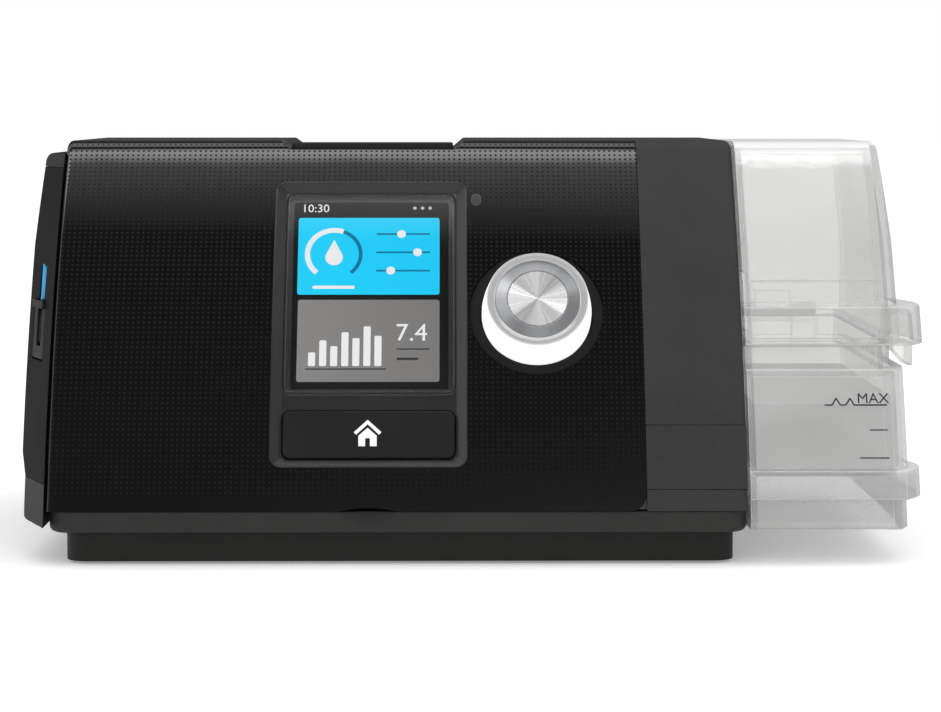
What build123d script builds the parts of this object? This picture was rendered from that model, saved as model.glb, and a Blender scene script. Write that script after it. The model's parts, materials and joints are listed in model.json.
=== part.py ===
from build123d import *
import os
from math import asin, cos, degrees, hypot, radians, sin, sqrt

# Bedside breathing-air machine with a slide-in humidifier tub.
# Millimetres. +X runs to the tub side, +Y to the back, +Z up.
# The origin is the middle of the footprint, on the surface the machine stands on.

# ---------------------------------------------------------------- driving dimensions
# Overall
HEIGHT = 116.0              # top of the casing above the table
FRONT_Y = -75.0             # foot of the leaning front
BACK_Y = 75.9               # flat of the back
MAIN_LEFT = -117.8          # left edge of the glossy front
FASCIA_RIGHT = 47.4         # seam between glossy front and matte band
MAIN_RIGHT = 75.4           # right edge of the matte band, mouth of the bay

# Front: a convex arc that leans back, then rolls over onto the top
FASCIA_BOTTOM = 15.3        # height of the foot of the arc
FRONT_LEAN = 17.7           # lean from vertical at the foot, degrees
FRONT_RADIUS = 298.0        # radius of the arc
ROLL_RADIUS = 8.6           # roll onto the top
BACK_RADIUS = 14.0          # roll from the top to the back

# Walls and clearances
WALL = 2.2                  # casing wall
THIN_WALL = 1.6             # inner ducts and small covers
TUB_WALL = 2.0              # clear tub wall
SEAM = 0.15                 # gap at a seam between two shells
FIT = 0.3                   # gap round a moving button, flap or drawer
PIN_FIT = 0.05              # radial gap of a pin in its hole
PLACE = 0.1                 # gap between an inner part and the shell round it

# Base and lower housing
BASE_LEFT = -113.0
BASE_RIGHT = 72.2
BASE_FRONT = -70.0
BASE_BACK = 69.0
BASE_BOTTOM = 0.8
BASE_TOP = 9.2
BASE_CORNER = 6.0
LOWER_LEFT = MAIN_LEFT + 0.7
LOWER_FRONT = -74.6
LOWER_BACK = 74.2
LOWER_CORNER = 6.0
LOWER_EDGE = 1.8            # rounding under the rail
RAIL_WALL = 4.0             # thicker front wall, behind the thumb notch
NOTCH_WIDTH = 16.4          # thumb notch below the screen
NOTCH_DROP = 4.2
NOTCH_DEPTH = 1.8
FASCIA_NOTCH_RISE = 0.9
FOOT_RADIUS = 7.0
FOOT_HEIGHT = 1.6
FOOT_INSET = 13.0
SCREW_SHANK = 1.45
SCREW_HEAD = 2.8
SCREW_LENGTH = 11.0
SCREW_BOSS = 4.0
SCREW_INSET = 26.0

# Top channel with the start button
CHANNEL_FLOOR = 47.7        # floor width
CHANNEL_TOP = 53.7          # width at the top
CHANNEL_DEPTH = 2.6
START_WIDTH = 46.9
START_LENGTH = 13.5
START_AHEAD = 4.75          # front edge of the button ahead of the end of the roll
START_BELOW_TOP = 0.6
START_TRAVEL = 0.5
FASCIA_BEYOND = 8.8         # the glossy front ends this far behind the button

# Screen frame, glass, display and home button, measured along the arc from its foot
FRAME_LOW = 12.5
FRAME_HIGH = 100.7
FRAME_WIDTH = 54.8
FRAME_CORNER = 3.4
BEVEL_SIDE = 3.1            # bevel width seen from the front
BEVEL_DEPTH = 1.9
FRAME_DEPTH = 4.4
GLASS_LOW = 34.6
GLASS_HIGH = 96.9
GLASS_WIDTH = 47.4
GLASS_CORNER = 2.0
GLASS_THICK = 1.8
GLASS_SINK = 1.4            # glass face below the glossy surface
LEDGE = 1.6                 # ledge that carries the glass
HOME_LOW = 15.3
HOME_HIGH = 28.8
HOME_WIDTH = 47.6
HOME_CORNER = 2.0
HOME_SINK = 1.0
HOME_THICK = 2.2
HOME_TRAVEL = 0.6
LCD_WIDTH = 43.4
LCD_LOW = 36.6
LCD_HIGH = 95.0
LCD_SINK = 5.7              # face below the glossy surface, at the board's tangent point
LCD_THICK = 2.5
SENSOR_ASIDE = 2.65         # light sensor right of the frame
SENSOR_DROP = 6.3           # and below the frame's upper edge
SENSOR_WIDTH = 3.0
SENSOR_HEIGHT = 4.2

# Dial
DIAL_X = 17.8
DIAL_S = 58.0
SEAT_RADIUS = 18.8          # dark ring round the dial
SEAT_GAP = 0.65             # glossy strip between that ring and the screen frame
SKIRT_RADIUS = 15.4         # foot of the clear skirt
RIM_RADIUS = 14.3           # its rim
KNOB_HEIGHT = 9.2
RING_RADIUS = 11.9          # metal ring
DISC_RADIUS = 8.3           # brushed centre
ENCODER_SIZE = 12.0
SHAFT_RADIUS = 3.0
DIAL_TRAVEL = 0.6

# Main board, parallel to the tangent of the front at the dial
BOARD_SINK = 8.3            # its face below the glossy surface
BOARD_THICK = 1.6
BOARD_LOW = 9.0
BOARD_HIGH = 101.0
BOARD_LEFT = MAIN_LEFT + 5.8
BOARD_SHORT = 3.5           # its right edge short of the bay's end wall

# Side housing, side cover and memory card on the left
CHEEK_OUT = 8.3             # housing beyond the glossy front
COVER_OUT = 9.85            # proud side cover
CHEEK_SLANT = 0.425         # outward step of the bevel per step back
CHEEK_LOW = 11.0
CHEEK_HIGH = 112.3
CHEEK_BACK = 66.0
COVER_LOW = 22.6
COVER_HIGH = 108.2
COVER_THICK = 2.4
CARD_WIDTH = 24.0
CARD_THICK = 2.1
CARD_LENGTH = 32.0
CARD_TOP_S = 71.6           # upper edge of the card, along the arc
CARD_SINK = 10.2             # its face below the glossy surface
CARD_SET_BACK = 0.3         # card end behind the bevel, at the middle of its thickness
SLOT_BOTTOM_S = 42.6
SCOOP_BOTTOM_S = 61.4
SCOOP_REACH = 2.8
FLAP_TOP_S = 60.6
FLAP_WIDTH = 11.0
FLAP_THICK = 1.4
FLAP_PIN = 0.4
FLAP_PIN_LENGTH = 1.2
TAB_SKIN = 0.45             # tab left over the end of the card
TAB_RISE = 2.4              # height of the finger tab
TAB_PROUD = 0.9
CARD_PRESS = 1.0            # push-push stroke of the card

# Adapter cover, in the side cover's flat
ADAPTER_Y = 8.0             # hinge side
ADAPTER_WIDTH = 40.0
ADAPTER_Z = 62.0
ADAPTER_HEIGHT = 46.0

# Name plate on the matte band
PLATE_LOW = 6.0
PLATE_HIGH = 24.4

# Bay, and the tub that slides into it
BAY_BEYOND = 3.4            # inner face of the bay's end wall, right of the dial's dark ring
BAY_INSET = 4.8             # bay cavity behind the casing's front
BAY_LOW = 17.2
BAY_HIGH = 86.0
BAY_BACK = 57.0
TUB_GAP = 0.7               # between casing and the tub's outer half
TUB_RIGHT = 121.5
TUB_BACK = 61.8
TUB_LOW = 9.8
TUB_STRIP = 5.6             # the right side sweeps out this far behind the front edge
DOCK_CLEAR = 0.6            # round the docked half
DOCK_SHORT = 2.0            # docked half short of the bay's end wall
WALL_TOP = 52.6             # top of the reservoir's outer wall
WALL_SPREAD = 0.7           # reservoir wall out on the right
FOOT_SPREAD = 0.9           # lowest part out on the right
NECK_TOP = 58.8
NECK_INSET = 2.4
SKIRT_LOW = 59.3            # lid skirt
SKIRT_TOP = 69.5
SKIRT_PROUD = 0.3           # skirt stands proud of the dome
FLANGE_LOW = 18.3
FLANGE_TOP = 25.7
TUB_INSET = 0.5             # reservoir wall behind the flange
FOOT_SET_BACK = 1.3         # lowest part of the tub behind the flange
LIP_RIGHT = 127.8
LIP_BACK = -3.5
FLANGE_RIGHT = 124.8
FLANGE_LIP_BACK = -38.0
LATCH_DROP = 6.8
LATCH_DEEP = 14.0
DOME_LEAN = 3.3             # top of the dome's right side leans in this far
DOME_LEAN_LOW = 80.5        # height where the lean starts
DOME_EDGE = 3.0             # rounding of the dome's upper right edge
DECK_TOP = 82.0
PORT_Z = 67.0
PORT_IN_Y = -10.0
PORT_OUT_Y = 34.0
PORT_RADIUS = 6.5           # bore of the air ports
HINGE_R = 1.5
HINGE_Y = 65.7
HINGE_Z = 59.6
KNUCKLE_R = 3.2

# Heater under the docked half
HEATER_THICK = 2.0
HEATER_PAD = 1.2
CONTACT_THICK = 1.0

# Air path
BLOWER_X = -44.0
BLOWER_Y = 21.0
VOLUTE_RADIUS = 38.0
VOLUTE_LOW = 55.0
VOLUTE_SPLIT = 67.0
VOLUTE_HIGH = 77.0
MOTOR_HIGH = VOLUTE_HIGH + 13.0
MOTOR_RADIUS = 17.0
IMPELLER_RADIUS = 27.0
INTAKE_RADIUS = 14.0
DUCT_RADIUS = 8.5          # outside of the round ducts
STATOR_RADIUS = 14.0
ROTOR_SHAFT_R = 1.5
BEARING_RADIUS = 4.0
BEARING_HEIGHT = 4.0
MUFFLER_LEFT = MAIN_LEFT + 7.8
MUFFLER_RIGHT = 12.0
PARTITION_X = (-72.0, -16.0)    # left faces of the muffler's two partitions
MUFFLER_FRONT = -34.0
MUFFLER_BACK = 50.0
MUFFLER_LOW = 12.0
MUFFLER_HIGH = 47.0
OUTLET_X = 10.0
OUTLET_RADIUS = 11.0        # 22 mm male cone of a breathing hose
OUTLET_BORE = 9.2
CUP_RADIUS = 17.5
CUP_DEPTH = 19.0
SPIGOT = 8.0

# Filter and its cover, in the back
FILTER_X = MAIN_LEFT + 10.8     # hinge side
FILTER_WIDTH = 44.0
FILTER_Z = 70.0
FILTER_HEIGHT = 50.0
FILTER_THICK = 7.0

# Power inlet and clip
INLET_X = -36.0
INLET_Z = 36.0
INLET_WIDTH = 15.0
INLET_HEIGHT = 13.0
CLIP_WIRE = 1.3

# ---------------------------------------------------------------- derived places
ARC_Y = FRONT_Y + FRONT_RADIUS * cos(radians(FRONT_LEAN))
ARC_Z = FASCIA_BOTTOM - FRONT_RADIUS * sin(radians(FRONT_LEAN))
ROLL_LEAN = asin((HEIGHT - ROLL_RADIUS - ARC_Z) / (FRONT_RADIUS - ROLL_RADIUS))
ROLL_Y = ARC_Y - (FRONT_RADIUS - ROLL_RADIUS) * cos(ROLL_LEAN)
TUB_LEFT = MAIN_RIGHT + TUB_GAP
CHEEK_LEFT = MAIN_LEFT - CHEEK_OUT
COVER_LEFT = MAIN_LEFT - COVER_OUT
FRAME_MID = (FRAME_LOW + FRAME_HIGH) / 2
CHANNEL_X = DIAL_X - SEAT_RADIUS - SEAT_GAP - FRAME_WIDTH / 2   # centre of the screen, channel and button
SENSOR_X = CHANNEL_X + FRAME_WIDTH / 2 + SENSOR_ASIDE
SENSOR_S = FRAME_HIGH - SENSOR_DROP
START_FRONT = ROLL_Y - START_AHEAD
FASCIA_BACK = START_FRONT + START_LENGTH + FASCIA_BEYOND
BAY_LEFT = DIAL_X + SEAT_RADIUS + BAY_BEYOND
BOARD_RIGHT = BAY_LEFT - BOARD_SHORT
DOCK_LEFT = BAY_LEFT + DOCK_SHORT
DEEP = 400.0                # longer than anything, for cuts that go right through


def lean(s):
    """Lean of the front from vertical, in radians, at arc length s."""
    return radians(FRONT_LEAN) + s / FRONT_RADIUS


def front_point(s, depth=0.0):
    """(y, z) of a point of the front, depth below its surface."""
    reach = FRONT_RADIUS - depth
    return ARC_Y - reach * cos(lean(s)), ARC_Z + reach * sin(lean(s))


def front_y(z, depth=0.0):
    """y of the front at height z, depth below its surface."""
    reach = FRONT_RADIUS - depth
    return ARC_Y - sqrt(reach**2 - (z - ARC_Z) ** 2)


def front_plane(x, s, depth=0.0):
    """Plane on the front: local x along +X, local y up the lean, z outwards."""
    y, z = front_point(s, depth)
    return Plane(origin=(x, y, z), x_dir=(1, 0, 0), z_dir=(0, -cos(lean(s)), sin(lean(s))))


def board_offset(s):
    """Distance along the dial's tangent plane from the dial to arc length s."""
    return FRONT_RADIUS * sin((s - DIAL_S) / FRONT_RADIUS)


# ---------------------------------------------------------------- shared shapes
def body_section(x, inset, low, high=None, back=BACK_Y, back_radius=0.0):
    """Closed side view of the casing at x, set in from its front, top and back."""
    reach = FRONT_RADIUS - inset
    foot = (front_y(low, inset), low)
    foot_lean = asin((low - ARC_Z) / reach)
    with BuildSketch(Plane.YZ.offset(x)) as section:
        with BuildLine():
            if high is None:
                top = HEIGHT - inset
                roll = ROLL_RADIUS - inset
                mid = (foot_lean + ROLL_LEAN) / 2
                end = (ARC_Y - reach * cos(ROLL_LEAN), ARC_Z + reach * sin(ROLL_LEAN))
                half = (ROLL_LEAN + radians(90)) / 2
                roll_z = HEIGHT - ROLL_RADIUS
                roll_mid = (ROLL_Y - roll * cos(half), roll_z + roll * sin(half))
                ThreePointArc(foot, (ARC_Y - reach * cos(mid), ARC_Z + reach * sin(mid)), end)
                ThreePointArc(end, roll_mid, (ROLL_Y, top))
                start = (ROLL_Y, top)
            else:
                top = high
                top_lean = asin((high - ARC_Z) / reach)
                mid = (foot_lean + top_lean) / 2
                start = (front_y(high, inset), high)
                ThreePointArc(foot, (ARC_Y - reach * cos(mid), ARC_Z + reach * sin(mid)), start)
            rear = back - inset
            bend = max(back_radius - inset, 0.0)
            if bend > 0:
                diagonal = bend * sin(radians(45))
                Line(start, (rear - bend, top))
                bend_mid = (rear - bend + diagonal, top - bend + diagonal)
                ThreePointArc((rear - bend, top), bend_mid, (rear, top - bend))
                Polyline((rear, top - bend), (rear, low), foot)
            else:
                Polyline(start, (rear, top), (rear, low), foot)
        make_face()
    return section.sketch


def front_band(x, low_s, high_s, outer, inner):
    """Side view of a curved plate that follows the front between two depths."""
    mid_s = (low_s + high_s) / 2
    with BuildSketch(Plane.YZ.offset(x)) as section:
        with BuildLine():
            ThreePointArc(front_point(low_s, outer), front_point(mid_s, outer), front_point(high_s, outer))
            Line(front_point(high_s, outer), front_point(high_s, inner))
            ThreePointArc(front_point(high_s, inner), front_point(mid_s, inner), front_point(low_s, inner))
            Line(front_point(low_s, inner), front_point(low_s, outer))
        make_face()
    return section.sketch


def front_pad(x, low_s, high_s, width, corner, outer, inner, margin=0.0):
    """Curved pad with a rounded rectangular outline, between two depths of the front."""
    mid_s = (low_s + high_s) / 2
    length = high_s - low_s + 2 * margin
    wide = width + 2 * margin
    with BuildPart() as pad:
        extrude(front_band(x - wide / 2, low_s - margin - 1, high_s + margin + 1, outer, inner), amount=wide)
        with BuildSketch(front_plane(x, mid_s)):
            RectangleRounded(wide, length, corner + margin)
        extrude(amount=DEEP, both=True, mode=Mode.INTERSECT)
    return pad.part


def casing_block(x_low, x_high, inset, low, high=None, back=BACK_Y, back_radius=0.0):
    """Solid slice of the casing's side view between two x."""
    with BuildPart() as block:
        extrude(body_section(x_low, inset, low, high, back, back_radius), amount=x_high - x_low)
    return block.part


def box_between(x, y, z):
    """Box from its low and high limits in x, y and z."""
    with BuildPart() as box:
        with Locations(((x[0] + x[1]) / 2, (y[0] + y[1]) / 2, (z[0] + z[1]) / 2)):
            Box(x[1] - x[0], y[1] - y[0], z[1] - z[0])
    return box.part


def rod(start, end, radius):
    """Straight round bar between two points."""
    span = Vector(*end) - Vector(*start)
    with BuildPart() as bar:
        with BuildSketch(Plane(origin=start, z_dir=span)):
            Circle(radius)
        extrude(amount=span.length)
    return bar.part


def bar_x(x_low, x_high, y, z, radius):
    """Round bar along X."""
    return rod((x_low, y, z), (x_high, y, z), radius)


def bar_y(x, y_low, y_high, z, radius):
    """Round bar along Y."""
    return rod((x, y_low, z), (x, y_high, z), radius)


def plan_prism(points, low, high):
    """Prism with a plan outline between two heights."""
    with BuildPart() as prism:
        with BuildSketch(Plane.XY.offset(low)):
            with BuildLine():
                Polyline(*points, close=True)
            make_face()
        extrude(amount=high - low)
    return prism.part


def channel_tool(y_low, y_high):
    """Trapezoid groove across the top that the start button sits in."""
    drop = HEIGHT - CHANNEL_DEPTH
    half_top = CHANNEL_TOP / 2 + (CHANNEL_TOP - CHANNEL_FLOOR) / 2 / CHANNEL_DEPTH
    with BuildPart() as groove:
        with BuildSketch(Plane.XZ.offset(-y_low)):
            with BuildLine():
                Polyline(
                    (CHANNEL_X - CHANNEL_FLOOR / 2, drop),
                    (CHANNEL_X + CHANNEL_FLOOR / 2, drop),
                    (CHANNEL_X + half_top, HEIGHT + 1.0),
                    (CHANNEL_X - half_top, HEIGHT + 1.0),
                    close=True,
                )
            make_face()
        extrude(amount=-(y_high - y_low))
    return groove.part


def channel_slab(y_low, y_high):
    """Thicker roof that keeps a wall below the channel."""
    half = CHANNEL_TOP / 2 + WALL
    roof = casing_block(CHANNEL_X - half, CHANNEL_X + half, 0, FASCIA_BOTTOM, back_radius=BACK_RADIUS)
    floor = HEIGHT - CHANNEL_DEPTH - WALL
    return roof & box_between((MAIN_LEFT, MAIN_RIGHT), (y_low, y_high), (floor, HEIGHT + 1))


card_angle = lean(DIAL_S)
card_y, card_z = front_point(DIAL_S)
card_dir = Vector(0, cos(card_angle), -sin(card_angle))
card_up = Vector(0, sin(card_angle), cos(card_angle))


def card_plane(depth):
    """Plane parallel to the main board, depth below the dial's tangent plane."""
    return Plane(origin=Vector(0, card_y, card_z) + card_dir * depth, x_dir=(1, 0, 0), z_dir=card_dir * -1)


def board_point(x, s, depth):
    """Point over the main board, depth below the dial's tangent plane."""
    spot = Vector(x, card_y, card_z) + card_up * board_offset(s) + card_dir * depth
    return tuple(spot)


def board_box(x_low, x_high, low_s, high_s, top, bottom):
    """Block parallel to the main board, between two depths."""
    low, high = board_offset(low_s), board_offset(high_s)
    with BuildPart() as block:
        with BuildSketch(card_plane(bottom)):
            with Locations(((x_low + x_high) / 2, (low + high) / 2)):
                Rectangle(x_high - x_low, high - low)
        extrude(amount=bottom - top)
    return block.part


def sag(s):
    """How far the front falls below the dial's tangent plane at arc length s."""
    return FRONT_RADIUS * (1 - cos((s - DIAL_S) / FRONT_RADIUS))


cheek_right = MAIN_LEFT - SEAM
bevel_length = hypot(CHEEK_SLANT, 1.0)
reach_per_depth = bevel_length / cos(card_angle)
card_in = CARD_SINK * reach_per_depth
card_out = (CARD_SINK + CARD_THICK) * reach_per_depth
card_reach = (card_in + card_out) / 2
card_high = board_offset(CARD_TOP_S) + card_reach / bevel_length * sin(card_angle)
card_mid_v = card_high - CARD_WIDTH / 2
card_left = cheek_right - CHEEK_SLANT / bevel_length * card_reach + CARD_SET_BACK


def card_block(x_low, x_high, width, depth, thick):
    """Block parallel to the main board, centred across the card."""
    with BuildPart() as block:
        with BuildSketch(card_plane(depth + thick)):
            with Locations(((x_low + x_high) / 2, card_mid_v)):
                Rectangle(x_high - x_low, width)
        extrude(amount=thick)
    return block.part


# ---------------------------------------------------------------- base
base_mid = ((BASE_LEFT + BASE_RIGHT) / 2, (BASE_FRONT + BASE_BACK) / 2)
base_size = (BASE_RIGHT - BASE_LEFT, BASE_BACK - BASE_FRONT)
foot_grid = (base_size[0] - 2 * FOOT_INSET, base_size[1] - 2 * FOOT_INSET)
screw_grid = (base_size[0] - 2 * SCREW_INSET, base_size[1] - 2 * FOOT_INSET)
screw_seat = BASE_BOTTOM + WALL
lower_floor = BASE_TOP + WALL
lower_mid = ((LOWER_LEFT + MAIN_RIGHT) / 2, (LOWER_FRONT + LOWER_BACK) / 2)
lower_size = (MAIN_RIGHT - LOWER_LEFT, LOWER_BACK - LOWER_FRONT)

with BuildPart() as base_plate:
    with BuildSketch(Plane.XY.offset(BASE_BOTTOM)):
        with Locations(base_mid):
            RectangleRounded(*base_size, BASE_CORNER)
    extrude(amount=BASE_TOP - BASE_BOTTOM)
    with BuildSketch(Plane.XY.offset(BASE_BOTTOM + WALL)):
        with Locations(base_mid):
            RectangleRounded(base_size[0] - 2 * WALL, base_size[1] - 2 * WALL, BASE_CORNER - WALL)
    extrude(amount=BASE_TOP, mode=Mode.SUBTRACT)
    with BuildSketch(Plane.XY.offset(BASE_BOTTOM)):
        with Locations(base_mid):
            with GridLocations(*screw_grid, 2, 2):
                Circle(SCREW_HEAD + WALL)
    extrude(amount=BASE_TOP - BASE_BOTTOM)
    with BuildSketch(Plane.XY.offset(BASE_BOTTOM)):
        with Locations(base_mid):
            with GridLocations(*screw_grid, 2, 2):
                Circle(SCREW_HEAD + PLACE)
    extrude(amount=WALL, mode=Mode.SUBTRACT)
    with BuildSketch(Plane.XY.offset(BASE_BOTTOM)):
        with Locations(base_mid):
            with GridLocations(*screw_grid, 2, 2):
                Circle(SCREW_SHANK + PIN_FIT)
    extrude(amount=BASE_TOP, mode=Mode.SUBTRACT)
    with BuildSketch(Plane.XY.offset(BASE_BOTTOM)):
        with Locations(base_mid):
            with GridLocations(*foot_grid, 2, 2):
                Circle(FOOT_RADIUS + PLACE)
    extrude(amount=FOOT_HEIGHT - BASE_BOTTOM, mode=Mode.SUBTRACT)

with BuildPart() as rubber_feet:
    with BuildSketch():
        with Locations(base_mid):
            with GridLocations(*foot_grid, 2, 2):
                Circle(FOOT_RADIUS)
    extrude(amount=FOOT_HEIGHT)
    fillet(rubber_feet.faces().filter_by(Axis.Z).group_by(Axis.Z)[0].edges(), radius=FOOT_HEIGHT / 4)

with BuildPart() as base_screws:
    with BuildSketch(Plane.XY.offset(BASE_BOTTOM + FIT)):
        with Locations(base_mid):
            with GridLocations(*screw_grid, 2, 2):
                Circle(SCREW_HEAD)
    extrude(amount=WALL - FIT)
    with BuildSketch(Plane.XY.offset(screw_seat)):
        with Locations(base_mid):
            with GridLocations(*screw_grid, 2, 2):
                Circle(SCREW_SHANK)
    extrude(amount=SCREW_LENGTH)
    with BuildSketch(Plane.XY.offset(BASE_BOTTOM + FIT)):
        with Locations(base_mid):
            with GridLocations(*screw_grid, 2, 2):
                Rectangle(SCREW_HEAD * 1.2, SCREW_HEAD * 0.3)
                Rectangle(SCREW_HEAD * 0.3, SCREW_HEAD * 1.2)
    extrude(amount=WALL / 3, mode=Mode.SUBTRACT)

# Lower housing: the rail seen below the front, with a shallow thumb notch
notch_radius = ((NOTCH_WIDTH / 2) ** 2 + NOTCH_DROP**2) / (2 * NOTCH_DROP)
notch_ball = (notch_radius**2 + NOTCH_DEPTH**2) / (2 * NOTCH_DEPTH)
notch_z = FASCIA_BOTTOM - NOTCH_DROP + notch_radius
lower_top = FASCIA_BOTTOM - SEAM
with BuildPart() as lower_housing:
    with BuildSketch(Plane.XY.offset(BASE_TOP)):
        with Locations(lower_mid):
            RectangleRounded(*lower_size, LOWER_CORNER)
    extrude(amount=lower_top - BASE_TOP)
    fillet(lower_housing.faces().sort_by(Axis.Z)[0].edges(), radius=LOWER_EDGE)
    with BuildSketch(Plane.XY.offset(lower_floor)):
        with Locations((lower_mid[0], lower_mid[1] + (RAIL_WALL - WALL) / 2)):
            RectangleRounded(lower_size[0] - 2 * WALL, lower_size[1] - RAIL_WALL - WALL, LOWER_CORNER - WALL)
    extrude(amount=HEIGHT, mode=Mode.SUBTRACT)
    with BuildSketch(Plane.XY.offset(BASE_TOP)):
        with Locations(base_mid):
            with GridLocations(*screw_grid, 2, 2):
                Circle(SCREW_BOSS)
    extrude(amount=lower_top - BASE_TOP)
    with BuildSketch(Plane.XY.offset(BASE_TOP)):
        with Locations(base_mid):
            with GridLocations(*screw_grid, 2, 2):
                Circle(SCREW_SHANK + PIN_FIT)
    extrude(amount=HEIGHT, mode=Mode.SUBTRACT)
    with Locations((CHANNEL_X, LOWER_FRONT + NOTCH_DEPTH - notch_ball, notch_z)):
        Sphere(notch_ball, mode=Mode.SUBTRACT)

# ---------------------------------------------------------------- shells
frame_opening = front_pad(
    CHANNEL_X, FRAME_LOW, FRAME_HIGH, FRAME_WIDTH, FRAME_CORNER, -1.0, 3 * WALL, margin=PLACE
)
sensor_opening = front_pad(
    SENSOR_X,
    SENSOR_S - SENSOR_HEIGHT / 2,
    SENSOR_S + SENSOR_HEIGHT / 2,
    SENSOR_WIDTH,
    SENSOR_WIDTH / 2.2,
    -1.0,
    2 * WALL,
    margin=PLACE,
)
fascia_skin = casing_block(MAIN_LEFT, FASCIA_RIGHT, 0, FASCIA_BOTTOM, back_radius=BACK_RADIUS)
fascia_hollow = casing_block(MAIN_LEFT + WALL, MAIN_RIGHT, WALL, FASCIA_BOTTOM - 1, back_radius=BACK_RADIUS)
fascia_slab = channel_slab(FRONT_Y, FASCIA_BACK)
start_back = START_FRONT + START_LENGTH
start_mid_y = START_FRONT + START_LENGTH / 2
start_top = HEIGHT - START_BELOW_TOP
switch_board_top = HEIGHT - CHANNEL_DEPTH - WALL - 5.4
channel_floor_low = HEIGHT - CHANNEL_DEPTH - WALL
notch_rise_radius = ((NOTCH_WIDTH / 2) ** 2 + FASCIA_NOTCH_RISE**2) / (2 * FASCIA_NOTCH_RISE)
FASCIA_EDGE = 1.6           # rounding of the glossy front's outer edges
FASCIA_CORNER = 4.4         # lower right corner seen from the front

card_hole_inner = MAIN_LEFT + 2 * WALL
card_hole = card_block(COVER_LEFT, card_hole_inner, CARD_WIDTH + 2 * FIT, CARD_SINK - FIT, CARD_THICK + 2 * FIT)

# Posts behind the front that carry the main board and the start switch's board
POST_R = 2.6
POST_X = (BOARD_LEFT + 4.0, BOARD_RIGHT - 4.0)
POST_S = (BOARD_LOW + 5.0, BOARD_HIGH - 5.0)
BOSS_X = CHANNEL_TOP / 2 + 0.2
with BuildPart() as front_posts:
    for post_x in POST_X:
        for post_s in POST_S:
            post_root = board_point(post_x, post_s, sag(post_s) + WALL / 2)
            add(rod(post_root, board_point(post_x, post_s, BOARD_SINK), POST_R))
    for side in (-1, 1):
        boss_x = CHANNEL_X + side * BOSS_X
        boss_root = (boss_x, start_mid_y, channel_floor_low + WALL / 2)
        add(rod((boss_x, start_mid_y, switch_board_top), boss_root, 2.0))

with BuildPart() as front_fascia:
    add(fascia_skin)
    left_rim = front_fascia.faces().sort_by(Axis.X)[0].edges()
    fillet(left_rim.filter_by(GeomType.CIRCLE) + left_rim.sort_by(Axis.Z)[-1:], radius=FASCIA_EDGE)
    add(fascia_hollow, mode=Mode.SUBTRACT)
    add(fascia_slab)
    add(front_posts.part)
    add(box_between((-DEEP, DEEP), (FASCIA_BACK, DEEP), (-DEEP, DEEP)), mode=Mode.SUBTRACT)
    with BuildSketch(Plane.XZ.offset(-FRONT_Y + 20)):
        with Locations((FASCIA_RIGHT, FASCIA_BOTTOM)):
            Rectangle(2 * FASCIA_CORNER, 2 * FASCIA_CORNER)
        with Locations((FASCIA_RIGHT - FASCIA_CORNER, FASCIA_BOTTOM)):
            Rectangle(DEEP, DEEP, align=(Align.MAX, Align.CENTER), mode=Mode.SUBTRACT)
        with Locations((FASCIA_RIGHT, FASCIA_BOTTOM + FASCIA_CORNER)):
            Rectangle(DEEP, DEEP, align=(Align.CENTER, Align.MIN), mode=Mode.SUBTRACT)
        with Locations((FASCIA_RIGHT - FASCIA_CORNER, FASCIA_BOTTOM + FASCIA_CORNER)):
            Circle(FASCIA_CORNER, mode=Mode.SUBTRACT)
    extrude(amount=-40, mode=Mode.SUBTRACT)
    add(channel_tool(FRONT_Y, FASCIA_BACK + 1), mode=Mode.SUBTRACT)
    add(frame_opening, mode=Mode.SUBTRACT)
    add(sensor_opening, mode=Mode.SUBTRACT)
    add(card_hole, mode=Mode.SUBTRACT)
    with BuildSketch(front_plane(DIAL_X, DIAL_S, 3 * WALL)):
        Circle(SEAT_RADIUS + PLACE)
    extrude(amount=6 * WALL, mode=Mode.SUBTRACT)
    with Locations((CHANNEL_X, start_mid_y, HEIGHT)):
        Box(START_WIDTH + 2 * FIT, START_LENGTH + 2 * FIT, 4 * CHANNEL_DEPTH, mode=Mode.SUBTRACT)
    with BuildSketch(Plane.XZ.offset(-FRONT_Y + 20)):
        with Locations((CHANNEL_X, FASCIA_BOTTOM + FASCIA_NOTCH_RISE - notch_rise_radius)):
            Circle(notch_rise_radius)
    extrude(amount=-30, mode=Mode.SUBTRACT)

# Rear housing: top, back and the rear openings
rear_right = FASCIA_RIGHT - SEAM
pocket_half = (CLIP_WIRE * 2 + INLET_WIDTH / 2 + 3.0, INLET_HEIGHT / 2 + 9.0)
pocket_depth = 2 * CLIP_WIRE + 2 * 0.6
cup_floor = BACK_Y - CUP_DEPTH
filter_mid = (FILTER_X + FILTER_WIDTH / 2, FILTER_Z)
DOOR_THICK = 2.2            # adapter and filter covers
PINTLE_R = 0.7
PINTLE_LENGTH = 2.0
DOOR_FRAME = 4.6            # locally thicker wall round a door
DOOR_LAND = 5.0
DOOR_RELIEF = 1.0           # bevel on an opening's hinge edge, so that its door swings past square
filter_axis =(FILTER_X + FIT + DOOR_THICK / 2, BACK_Y - DOOR_THICK / 2)
back_face = Plane.XZ.offset(-BACK_Y)

pocket_floor = BACK_Y - pocket_depth
clip_axis_y = pocket_floor + 0.6 + CLIP_WIRE
clip_axis_z = INLET_Z - pocket_half[1] + CLIP_WIRE + 2.5
clip_leg = pocket_half[0] - CLIP_WIRE - FIT
clip_top = INLET_Z + pocket_half[1] - CLIP_WIRE - 1.5
clip_reach = pocket_half[0] + WALL / 2

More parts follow.
